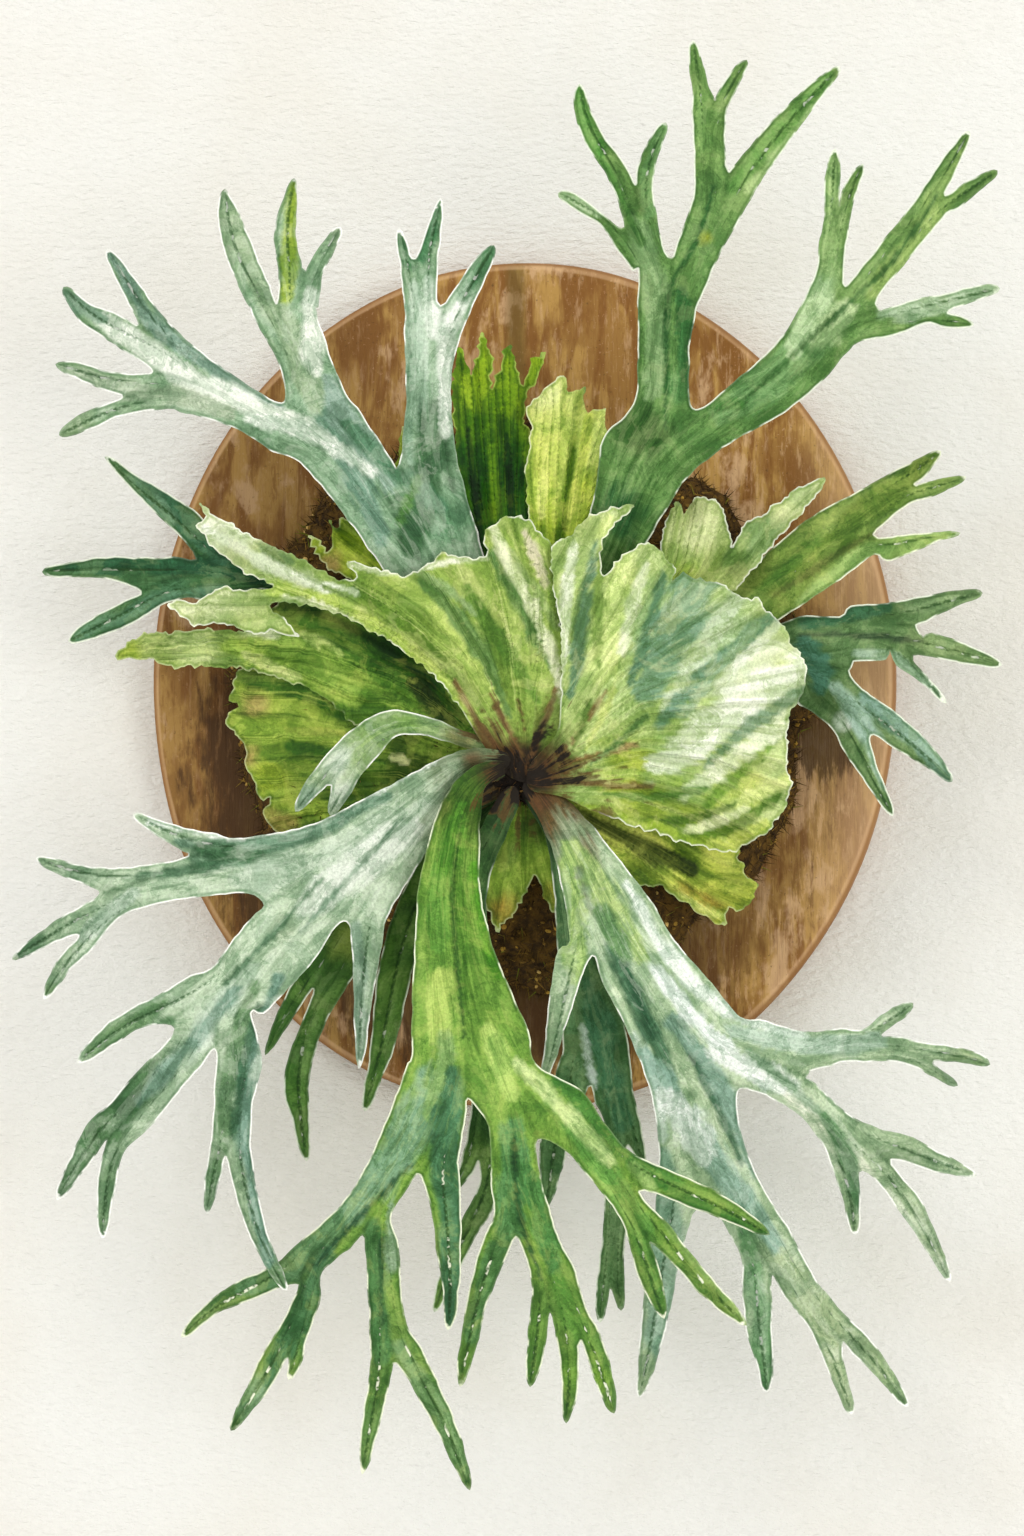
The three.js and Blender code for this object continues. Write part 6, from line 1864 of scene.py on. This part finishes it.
                  Arm((181, -242, 7, 192, -258, 6, 203, -277, 4), (213, -297))))))))))))),
    "under_frond_right": FrondPlan(
        rise=(0, 87, 60, 95, 130, 108, 200, 100, 280, 78),
        trunk=Arm((4, -52, 5, 20, -80, 7, 28, -140, 10, 36, -175, 16), Fork(33, -201,
          Arm((24, -202, 9, 16, -230, 7), (12, -262), -6),
          Arm((46, -205, 10, 50, -218, 9), Fork(53, -230,
            Arm((57, -227, 3.6), (61, -240)),
            Arm((46.5, -242, 6, 47, -262, 6, 45, -285, 6), Fork(44, -301,
              Arm((40.5, -301, 3.4), (39, -318)),
              Arm((48, -300, 3.2), (49.5, -312))))))))),
    "under_frond_centre": FrondPlan(
        rise=(0, 92, 60, 110, 110, 135, 180, 140, 230, 118, 270, 96),
        trunk=Arm((-6, -56, 5, -24, -100, 7, -22, -150, 8, -16, -200, 9), Fork(-22, -238,
          Arm((-27, -240, 4), (-36, -254), -4),
          Arm((-17, -252, 5, -27, -272, 5, -36, -292, 4), (-44, -313))))),
    "under_frond_left": FrondPlan(
        rise=(0, 88, 60, 98, 130, 115, 200, 100),
        trunk=Arm((-10, -50, 5, -40, -66, 6, -62, -90, 8, -80, -118, 10, -95, -140, 12), Fork(-105, -152,
          Arm((-114, -156, 4.5), (-129, -185), -5),
          Arm((-107, -166, 9, -113, -195, 6.5, -111, -218, 4), (-108, -238))))),
    "under_frond_slim": FrondPlan(
        rise=(0, 84, 60, 92, 130, 105, 190, 88),
        trunk=Arm((-8, -56, 4, -38, -80, 6, -55, -112, 8, -64, -145, 8.5, -69, -175, 6.5, -74, -195, 4),
            (-79, -213))),
}

SILVER = LeafFinish("silver_leaf", "frond_silver", 0x8C9284, 0x84A888, 0xFAFAF2, dash_share=0.35)
GREEN = LeafFinish("green_leaf", "frond_green", 0x64704A, 0x7CA46C, 0xE8EEDA, dash_share=0.45)
LIME = LeafFinish("lime_leaf", "frond_lime", 0x70783C, 0x7CA464, 0xEEF2D6)
PALE = ShieldFinish("pale_shield", "shield_pale", 0x8C8C5C, 0x9AB464, 0xFAFAEC, stroke_width=5.0,
                    stroke_length=70.0, margin_share=0.6, relief=0.9, side_share=0.4, root_reach=1.0)
MOSSY = ShieldFinish("green_shield", "shield_green", 0x808A3C, 0x86A84E, 0xE6ECB8, shade_share=0.6,
                     stroke_width=4.6, margin_share=0.4, relief=0.9, root_reach=0.8)
JAGGED = replace(MOSSY, slot="shield_lime")
DEEP = ShieldFinish("dark_shield", "shield_dark", 0x4A6010, 0x82A45A, 0xC8DC6C, light_share=0.35,
                    shade_share=0.7, vein_share=0.3, fine_share=0.2, side_share=0.7)
BRIGHT = ShieldFinish("lime_shield", "shield_lime", 0x909044, 0x8CAE44, 0xFAFAD8, shade_share=0.55,
                      stroke_length=50.0, margin_share=0.6)

LOOKS: dict[str, LeafLook] = {
    # The fan's white and cream bands are painted highlights on its lit folds, some dark bands painted shade
    # in the folds, and the near-black patch at its root painted shade in the crown.
    "shield_right_fan": LeafLook(0x5C4222, 0xAAC074, 0xC6D496, PALE, (
        (14, -38, 15, 0x543C1A, 0.8), (5, -45, 10, 0x1E1408, 0.95), (95, -74, 20, 0x9EB43E),
        (59, -57, 24, 0x8CA02E), (54, -40, 16, 0xA8B846), (110, -55, 15, 0xBAC860),
        (100, 20, 32, 0xB4CAA0), (120, -5, 24, 0xD8E0C0), (72, 26, 26, 0xA0BC8C), (49, -2, 14, 0xC0D490),
    ), (
        (11, 0x70967A, 101, 73, 90, 53, 74, 19, 62, -4), (5, 0xC4D2B2, 116, 56, 110, 46, 92, 17, 72, -13),
        (3, 0x5C8668, 71, 56, 63, 24, 54, 0), (4.5, 0x689076, 138, 48, 133, 39, 101, 14, 83, -4, 69, -20),
        (9, 0xEAEEDC, 158, 18, 131, 5, 108, -11, 88, -27, 65, -45),
        (3.4, 0x70906E, 150, 0, 122, -14, 104, -30, 92, -42),
        (3.6, 0x68902E, 138, -14, 115, -38, 92, -61),
        (4.4, 0xE8EDCE, 134, -20, 112, -32, 96, -44, 81, -56),
        (3.4, 0xD2DC8C, 140, -44, 115, -56, 92, -68), (3.4, 0x50781E, 128, -56, 104, -74, 83, -77),
        (4, 0xBCCA56, 122, -70, 100, -84, 74, -82), (2.4, 0x4A701C, 106, -60, 84, -70, 60, -68),
        (2.4, 0xDEE4B4, 112, -62, 96, -70, 80, -74), (5, 0x96B038, 29, -60, 66, -74, 99, -84),
        (2, 0x54741C, 40, -68, 70, -80, 92, -87), (3, 0x7E6034, 20, -40, 40, -34, 58, -30),
        (2, 0x70542C, 20, -36, 32, -18, 42, -4), (2.4, 0x6C5228, 24, -48, 46, -52, 66, -50),
        (1.6, 0x604622, 22, -44, 40, -44, 52, -42), (4, 0x62886C, 38, 70, 31, 40, 28, 10, 24, -6),
        (3, 0xE8ECD6, 18, -6, 20, 24, 22, 46, 26, 70), (10, 0xD4E292, 44, 78, 50, 50, 44, 24, 40, 4),
        (2.6, 0x88A452, 40, 66, 38, 36, 38, 10), (3, 0xE2E8C8, 62, 60, 54, 36, 50, 16),
        (3, 0x5C7C30, 34, -8, 30, -24, 24, -36), (2.6, 0xB8C86E, 46, -2, 40, -18, 32, -32),
        (2.4, 0x5C8448, 62, -16, 48, -30, 34, -40), (3, 0xB0C464, 78, -48, 56, -44, 36, -44),
        (2.4, 0x648C3C, 92, -52, 66, -58, 40, -54), (3, 0x96B08C, 118, 30, 96, 4, 80, -16),
        (2.4, 0xE2E7D4, 128, 30, 112, 14, 98, 0),
    )),
    # Its white bands are painted highlights along its rim, the dark green band just above its lower rim is
    # painted shade, and the near-black patch at its root painted shade in the crown.
    "shield_left_sweep": LeafLook(0x5E4624, 0x92AC50, 0xCED6A8, PALE, (
        (-150, 78, 18, 0xE6EAD4), (-165, 40, 20, 0xD0D8A8), (2, -40, 12, 0x1E1408, 0.95),
    ), (
        (6, 0xB0C65C, -127, 49, -96, 46, -72, 27, -48, 11, -32, -8, -22, -28),
        (3.6, 0x587C22, -84, 49, -53, 25, -29, 1, -20, -13),
        (5, 0xC2D274, -74, 58, -44, 42, -20, 11, -8, -13),
        (4.4, 0x64884C, -50, 53, -29, 32, -13, 4, -6, -16), (3, 0xC0CC7C, -32, 62, -10, 32, 2, 1),
        (4.4, 0x648C34, -28, 48, -5, 14, 8, -8), (3.4, 0x90A864, -6, 66, 17, 30),
        (4.4, 0x567E42, -14, 66, -2, 44, 8, 23, 17, 8),
        (3, 0xE0E4BE, -16, 82, -8, 62, 7, 37, 17, 12, 20, -8), (2.4, 0xCEC6A8, 2, 76, 8, 60, 12, 50),
        (3.4, 0x6C4A2C, 17, -2, 8, -27, 1, -45), (3, 0x684A28, -34, 2, -20, -23, -6, -39),
        (2.6, 0x6E502C, -16, -4, -6, -24, 1, -36), (1.6, 0x604222, -2, -6, 2, -26),
        (1.6, 0xECEED4, -86, 61, -64, 54, -44, 62, -18, 64), (3, 0x80986C, -132, 72, -116, 62),
        (4, 0xE2E6C8, -122, 58, -100, 50), (3, 0xF0F2E6, -160, 80, -136, 64, -110, 52, -84, 46),
        (2, 0x78943C, -100, 50, -80, 42, -64, 30), (1.8, 0xECEECE, -120, 45, -98, 41, -76, 24, -56, 10),
        (2, 0x96B078, -60, 60, -40, 52, -24, 36),
    )),
    # Its darkest bands, along its top, are painted shadow cast by the sweep above.
    "shield_left_under": LeafLook(0x345416, 0x628C2C, 0xC4D082, MOSSY, (
        (-165, 19, 13, 0xCCD798), (-200, 17, 9, 0x9EB438),
    ), (
        (8, 0x28580C, -134, 42, -98, 30, -61, 12, -31, -18), (4, 0x467422, -112, 34, -84, 18, -58, 0),
        (2, 0x163E06, -128, 42, -96, 36, -70, 20, -44, 0), (6, 0xA6C254, -148, 20, -111, 10, -84, -8),
        (3, 0x507E26, -111, 25, -78, 5, -58, -12), (7, 0x96B64E, -134, 24, -106, 14, -84, 0),
        (3, 0xBED078, -110, 26, -92, 16), (4, 0xD8E0B8, -150, 34, -124, 27),
        (3, 0x7A9E3A, -100, 18, -76, 0, -56, -14), (2.5, 0xCED88C, -140, 16, -112, 4),
        (6, 0x243A0C, -54, 0, -34, -22),
    )),
    # Its dark patch between the curled and lower left fronds is painted shade, with a short cream band beside
    # it as a painted highlight.
    "shield_left_back": LeafLook(0x3C581A, 0x7C9A34, 0x9EB246, MOSSY, (
        (-134, -10, 8, 0xAC865C, 0.7), (-138, -36, 7, 0xA87C54, 0.7), (-124, -70, 12, 0xAC8852, 0.6),
        (-90, -50, 15, 0x386212), (-60, -40, 16, 0x284C0C), (-128, -45, 11, 0xA6B838),
    ), (
        (5, 0x2C6012, -144, 6, -116, 1, -88, -14), (7, 0xB2C854, -141, -20, -116, -24, -91, -25),
        (5, 0xA8BE46, -128, -56, -110, -60, -96, -62), (1.8, 0xD0D468, -118, -22, -88, -24),
        (4, 0x42741C, -118, -30, -92, -36, -70, -40), (2.4, 0xE2E2A4, -66, -36, -58, -38),
        (3, 0x789834, -130, -34, -104, -44),
    )),
    "shield_top_dark": LeafLook(0x143A08, 0x266008, 0x96B61C, DEEP, (
        (-25, 130, 9, 0x54840C), (-10, 142, 8, 0x70980E), (1, 128, 8, 0x5C8E12),
    ), (
        (2.4, 0x0C3404, -20, 60, -24, 100, -27, 128), (2.4, 0x0E3C06, -2, 60, -6, 100, -8, 126),
        (2.6, 0x608C12, -13, 84, -15, 120), (2.4, 0x6E9816, 4, 90, 4, 130),
        (2, 0x96B428, -27, 140, -28, 156),
    ), tip_start=0.72),
    "shield_top_lime": LeafLook(0x648A12, 0xAEC638, 0xE0E88C, BRIGHT, (
        (30, 100, 7, 0xC0D046), (12, 146, 8, 0xE6ECA0),
    ), (
        (3, 0x608612, 16, 60, 22, 90, 26, 118), (2.6, 0xD8E268, 24, 84, 30, 112, 34, 136),
        (2.4, 0x709418, 34, 70, 42, 100), (2.4, 0xE2E882, 10, 84, 12, 120),
        (3, 0xBED246, 44, 90, 50, 116),
    )),
    "shield_jagged": LeafLook(0x506414, 0x8CA626, 0xB0BE36, JAGGED, (
        (-96, 62, 7, 0xB88E60, 0.7), (-87, 76, 7, 0x749212), (-76, 70, 10, 0x7E9A1E),
    )),
    "shield_upper_right": LeafLook(0x688238, 0xA4B866, 0xCCD49E, PALE, (
        (90, 78, 14, 0xD0D89E), (80, 56, 9, 0x92AC40), (120, 74, 15, 0x7A9A5E), (142, 95, 12, 0xBECC96),
        (106, 62, 8, 0x60843C),
    )),
    # Its dark band along the root side is painted shadow under the fan's lower rim.
    "shield_lower_right": LeafLook(0x687826, 0xD8E064, 0xB0BA44, MOSSY, (
        (92, -112, 10, 0xA28230, 0.75), (108, -92, 12, 0xBEC85A), (66, -92, 12, 0x64821A),
        (82, -84, 11, 0x769224), (80, -106, 8, 0x96782C, 0.6),
    ), (
        (6, 0x3C4814, 14, -58, 40, -71, 66, -84, 84, -92), (3, 0xD6DE78, 70, -104, 90, -112, 100, -116),
    )),
    "shield_lower_centre": LeafLook(0x384816, 0x84A438, 0x8CA03A, MOSSY, (
        (-9, -113, 8, 0xAA8230, 0.8), (15, -106, 7, 0x969630), (-10, -86, 9, 0x8AA248),
        (8, -70, 10, 0x385414), (-14, -66, 9, 0x3C5C18),
    )),
    # Its near-white bands are painted highlights along lit edges.
    "frond_upper_left": LeafLook(0x467050, 0x8CAA88, 0x7A986C, SILVER, (
        (-41, 84, 16, 0x5C8A62), (-94, 229, 9, 0xA6B696), (-225, 130, 12, 0x7E986C),
    ), (
        (5, 0xACC2AA, -50, 124, -53, 164, -54, 200), (12, 0x366238, -42, 138, -47, 112, -56, 72),
        (6, 0x70947E, -112, 164, -88, 118, -70, 74), (4, 0xE4E8DC, -38, 126, -39, 178, -26, 200),
        (4, 0xCEDAC8, -46, 178, -47, 204), (3, 0x84A286, -56, 112, -58, 150, -58, 190),
        (5, 0x3A7446, -51, 214, -44, 244), (3.4, 0xDEE4D6, -44, 176, -44, 202),
        (5, 0x4E8054, -30, 196, -15, 219), (5, 0x4A7C50, -57, 212, -61, 228),
        (8, 0x92AA9A, -66, 104, -79, 120, -98, 152), (5, 0x4C7A58, -40, 90, -62, 104, -88, 132),
        (8, 0x94AA84, -104, 142, -116, 176, -135, 210, -150, 246), (6, 0xE2E6D8, -104, 160, -106, 198),
        (5, 0x96AC2E, -119, 195, -114, 252), (4.5, 0x7A9686, -122, 141, -157, 161, -182, 176, -208, 218),
        (6, 0xE0E4D6, -110, 132, -141, 142, -166, 154, -194, 173, -226, 195),
        (5, 0x64886C, -232, 198, -212, 185), (5, 0xA6B498, -147, 138, -178, 149, -207, 148, -232, 160),
        (4, 0xE6EADE, -75, 107, -107, 129, -138, 135), (3, 0x54803E, -62, 82, -52, 104),
    )),
    "frond_upper_right": LeafLook(0x386432, 0x608846, 0x70904C, GREEN, (
        (59, 127, 16, 0x204C14), (48, 86, 15, 0x306434), (92, 224, 4, 0x96A032), (78, 150, 8, 0x548448),
    ), (
        (6, 0x82A06C, 66, 146, 68, 177, 65, 209, 56, 234), (5, 0x326A34, 84, 150, 81, 196),
        (1.6, 0x265824, 72, 128, 73, 202, 90, 224, 96, 250), (4, 0x488432, 49, 243, 31, 281, 28, 300),
        (4, 0xA6BE94, 42, 238, 20, 245), (5, 0x769E62, 65, 237, 62, 259, 72, 280),
        (8, 0x7CA058, 95, 262, 93, 285, 87, 320), (5, 0x608E42, 106, 250, 128, 275, 154, 304),
        (4, 0x9AB676, 114, 248, 136, 270, 158, 300), (9, 0x6E965C, 100, 136, 134, 159, 150, 172),
        (8, 0xB2C692, 148, 172, 162, 188), (6, 0xB0C898, 136, 166, 146, 186, 152, 206),
        (7, 0x8CAA6A, 152, 206, 156, 262), (7, 0x92AC60, 176, 196, 203, 226, 222, 262),
        (5, 0xACC0A0, 180, 186, 200, 186, 238, 197), (4, 0x467430, 60, 222, 50, 240, 40, 262),
        (1.4, 0x326028, 110, 140, 150, 178, 186, 210, 208, 244), (3, 0x3C702E, 88, 140, 110, 140),
    )),
    "frond_mid_left": LeafLook(0x1A4622, 0x325E30, 0x547C50, GREEN, (
        (-206, 110, 9, 0x4E7650), (-176, 50, 9, 0x4A7650),
    ), (
        (5, 0x285C3C, -130, 56, -170, 62, -228, 62), (5, 0x3C6A4C, -150, 62, -176, 90, -206, 124),
        (4, 0x74967A, -176, 84, -196, 106), (5, 0x588264, -150, 48, -190, 40, -224, 26),
        (2, 0x184228, -120, 50, -150, 56),
    )),
    "frond_right_lime": LeafLook(0x58722E, 0x789240, 0x7E9852, LIME, (
        (190, 92, 9, 0x648236), (154, 80, 7, 0x96AA5A),
    ), (
        (7, 0x567426, 120, 48, 151, 66, 182, 95, 207, 116), (1.6, 0x5C6A2E, 126, 44, 161, 67, 178, 76),
        (5, 0x9EBA6C, 140, 40, 168, 64, 216, 76), (3, 0x547A2C, 112, 40, 130, 56, 150, 74),
    )),
    "frond_right_teal": LeafLook(0x2E502C, 0x5C7C4A, 0x6E8A56, GREEN, (
        (161, -18, 5, 0xE8ECE4),
    ), (
        (5, 0x306242, 141, 30, 161, 36, 182, 38), (6, 0x467862, 141, 21, 153, 10, 149, -2),
        (5, 0x7E9668, 190, 38, 224, 44), (5, 0x76905C, 199, 21, 232, 11),
        (1.4, 0x364C30, 139, 25, 168, 25, 199, 21), (5, 0x98B096, 168, 14, 193, 8, 209, -8),
        (5, 0x9CB6A6, 157, -2, 174, -22, 182, -50), (6, 0x7C9C8C, 172, -8, 193, -19, 212, -47),
    )),
    # The near-white line along its upper edge is a painted highlight.
    "frond_lower_left": LeafLook(0x6E7C58, 0xB0C2A4, 0x66885C, SILVER, (
        (-24, -38, 6, 0x604628, 0.8), (-252, -135, 14, 0x547C56), (-226, -92, 10, 0x789474),
        (-240, -162, 12, 0x829E6E), (-120, -121, 7, 0xB0BEA0),
    ), (
        (1.6, 0xF6F6F0, -188, -68, -146, -77, -108, -71, -73, -53, -43, -38),
        (4.4, 0x60846A, -173, -78, -143, -82, -114, -78, -88, -65, -68, -56),
        (5, 0x688A6C, -166, -86, -138, -88, -108, -87), (4, 0x38623C, -164, -81, -143, -86, -130, -86),
        (8, 0xB2C2AA, -143, -97, -114, -92, -84, -80, -48, -60),
        (9, 0xCCD4C4, -110, -112, -84, -92, -55, -71), (3, 0x466E4C, -193, -95, -149, -90),
        (4, 0xB0C0AC, -196, -104, -222, -126),
        (8, 0x426C3E, -170, -182, -202, -212, -223, -239, -233, -262),
        (5, 0x588054, -178, -169, -204, -190, -226, -236),
        (6, 0xBACAB4, -134, -140, -164, -177, -188, -203),
        (4, 0x749480, -143, -153, -173, -186, -193, -208), (5, 0x709262, -217, -184, -180, -158),
        (5, 0x5C8054, -134, -150, -143, -180, -152, -224, -158, -262),
        (5, 0x688C7A, -123, -147, -140, -209, -134, -253, -127, -288),
        (2.5, 0x3E6848, -132, -159, -143, -200, -145, -226), (3, 0xC0CCBC, -122, -156, -134, -195),
        (5, 0x88A08A, -84, -120, -82, -190), (1.6, 0x567A58, -100, -96, -130, -130, -150, -150),
        (1.4, 0x6E8C70, -60, -66, -90, -100, -112, -124),
    )),
    "frond_curled": LeafLook(0x789058, 0x94AE70, 0xC8D4B8, SILVER, (
        (-60, -18, 8, 0x74984A), (-76, -27, 7, 0x92AE68), (-92, -40, 9, 0xD2DBC8),
        (-92, -55, 9, 0xDAE1D0), (-108, -56, 8, 0xA0BAA2), (-30, -26, 10, 0x86784A, 0.7),
    )),
    "frond_bottom_centre": LeafLook(0x40601C, 0x6E963A, 0x48723C, LIME, (
        (-16, -44, 7, 0x3C3014, 0.9), (-78, -372, 14, 0x80A05C), (-150, -308, 14, 0x4E763E),
        (-160, -318, 9, 0x7A9860), (-136, -355, 12, 0x809E7A), (28, -342, 12, 0x709A3C),
        (36, -348, 8, 0x8CB042),
    ), (
        (7, 0x64943A, -38, -84, -41, -108, -42, -130), (7, 0xA4BE5E, -40, -146, -43, -160, -42, -176),
        (3, 0x507E28, -29, -70, -31, -110, -29, -160), (8, 0x54882A, -30, -60, -38, -90),
        (1.3, 0x2C541A, -30, -64, -36, -104, -32, -145, -29, -176), (5, 0x549224, -24, -90, -12, -144),
        (5, 0xA8C466, -17, -172, -5, -205), (10, 0x769A7A, -46, -196, -52, -222, -69, -241, -90, -266),
        (6, 0x82A260, -38, -176, -40, -196, -46, -214),
        (8, 0x447654, -34, -195, -39, -229, -35, -266, -36, -318),
        (9, 0x52844E, -5, -222, -5, -252, -8, -278), (6, 0x4C8242, 0, -241, 11, -263, 16, -292),
        (6, 0x6C9E48, 13, -205, 40, -240, 63, -271),
        (5, 0x40782E, 18, -197, 57, -236, 86, -262, 122, -273),
        (4, 0x98B66A, 56, -240, 83, -278, 115, -320), (5, 0x588A3A, 41, -232, 63, -281, 70, -314),
        (8, 0x5E865C, -92, -268, -114, -292, -140, -300),
        (7, 0x48764C, -98, -284, -112, -320, -126, -346), (7, 0x4E7E48, -74, -270, -74, -300, -70, -335),
        (4, 0x96AE90, -64, -262, -64, -290), (5, 0x769864, -62, -330, -46, -352, -30, -392),
        (1.5, 0x224C2C, -56, -240, -80, -264, -104, -290), (1.5, 0x244E28, -71, -276, -70, -320),
        (1.4, 0x245028, -4, -226, -3, -264, 10, -296), (4, 0xBED08C, -2, -188, 22, -214, 44, -238),
        (5, 0x68983E, 18, -296, 30, -330), (6, 0x54824A, -12, -280, -26, -326),
    )),
    # Its near-white bands are painted highlights along lit rims.
    "frond_bottom_right": LeafLook(0x604A26, 0xAABE98, 0x8EA278, SILVER, (
        (10, -58, 6, 0x54361C, 0.85), (206, -210, 11, 0x8CA470), (222, -188, 12, 0x94A878),
        (190, -163, 9, 0x809E70), (182, -347, 12, 0xA0B486),
    ), (
        (7, 0x9EBA68, 22, -80, 24, -110, 28, -146), (6, 0xAAC074, 26, -79, 45, -111, 60, -136),
        (5, 0xBECDBC, 40, -152, 53, -175, 65, -200, 70, -225),
        (5, 0x3C6C4A, 42, -116, 50, -142, 60, -165, 75, -196),
        (3.5, 0xDCE3D8, 52, -100, 76, -140, 104, -166, 142, -175),
        (4.5, 0xDAE0DA, 66, -142, 82, -162, 103, -183, 121, -200),
        (6, 0x7A9A88, 76, -168, 95, -193, 110, -218, 117, -243),
        (2, 0x2C5838, 42, -116, 52, -144, 66, -176), (2, 0x346042, 84, -186, 100, -214, 110, -240),
        (4, 0xC4D4AE, 40, -142, 54, -172), (6, 0x86A694, 60, -184, 83, -216, 105, -249, 128, -281),
        (8, 0xE2E7DF, 72, -206, 92, -234), (6, 0xE0E5DC, 96, -184, 128, -196, 142, -210),
        (5, 0xACC0AC, 105, -173, 144, -181, 180, -178),
        (7, 0xCCD2B8, 134, -207, 167, -242, 192, -278, 212, -296),
        (6, 0x608E5C, 112, -274, 118, -307, 122, -350), (6, 0xA2B488, 130, -284, 151, -313, 161, -360),
        (5, 0x688E58, 40, -112, 52, -136), (2.6, 0x789874, 112, -182, 128, -196, 150, -214),
        (4, 0x568252, 150, -214, 166, -240, 168, -262), (8, 0x70967C, 70, -236, 74, -280, 66, -330),
    )),
    "under_frond_right": LeafLook(0x38562C, 0x567C4E, 0x6E925C, GREEN, (
        (46, -272, 18, 0x7A9A68),
    ), (
        (7, 0x40724E, 34, -150, 41, -184, 50, -218), (2, 0xC4D2C8, 30, -170, 36, -200),
        (4, 0x689074, 56, -170, 62, -210),
    )),
    "under_frond_centre": LeafLook(0x2E4C22, 0x446C36, 0x789C4C, GREEN, (
        (-22, -236, 12, 0x688C42),
    )),
    "under_frond_left": LeafLook(0x284618, 0x527A32, 0x56823A, GREEN, (
        (-84, -128, 12, 0x90A44C), (-101, -150, 9, 0x628A40), (-110, -200, 12, 0x548032),
    )),
    "under_frond_slim": LeafLook(0x284616, 0x4A7228, 0x5E8A3C, GREEN, (
        (-66, -150, 12, 0x608838),
    )),
}


def main() -> None:
    """Builds every piece in order."""
    logging.basicConfig(level=logging.INFO, format="%(name)s %(message)s")
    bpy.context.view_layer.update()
    Studio().build()
    plaque = Plaque()
    plaque.board()
    plaque.dress_hanger()
    MossBed().build()
    Crown().build()
    for seed, (node, plan) in enumerate(SHIELD_PLANS.items(), 11):
        Shield(f"{node}_leaf", LOOKS[node], seed=seed, plan=plan, node=node).build()
    for seed, (node, plan) in enumerate(FROND_PLANS.items(), 41):
        Frond(f"{node}_leaf", LOOKS[node], seed=seed, plan=plan, node=node).build()
    bpy.context.view_layer.update()


if __name__ == "__main__":
    main()
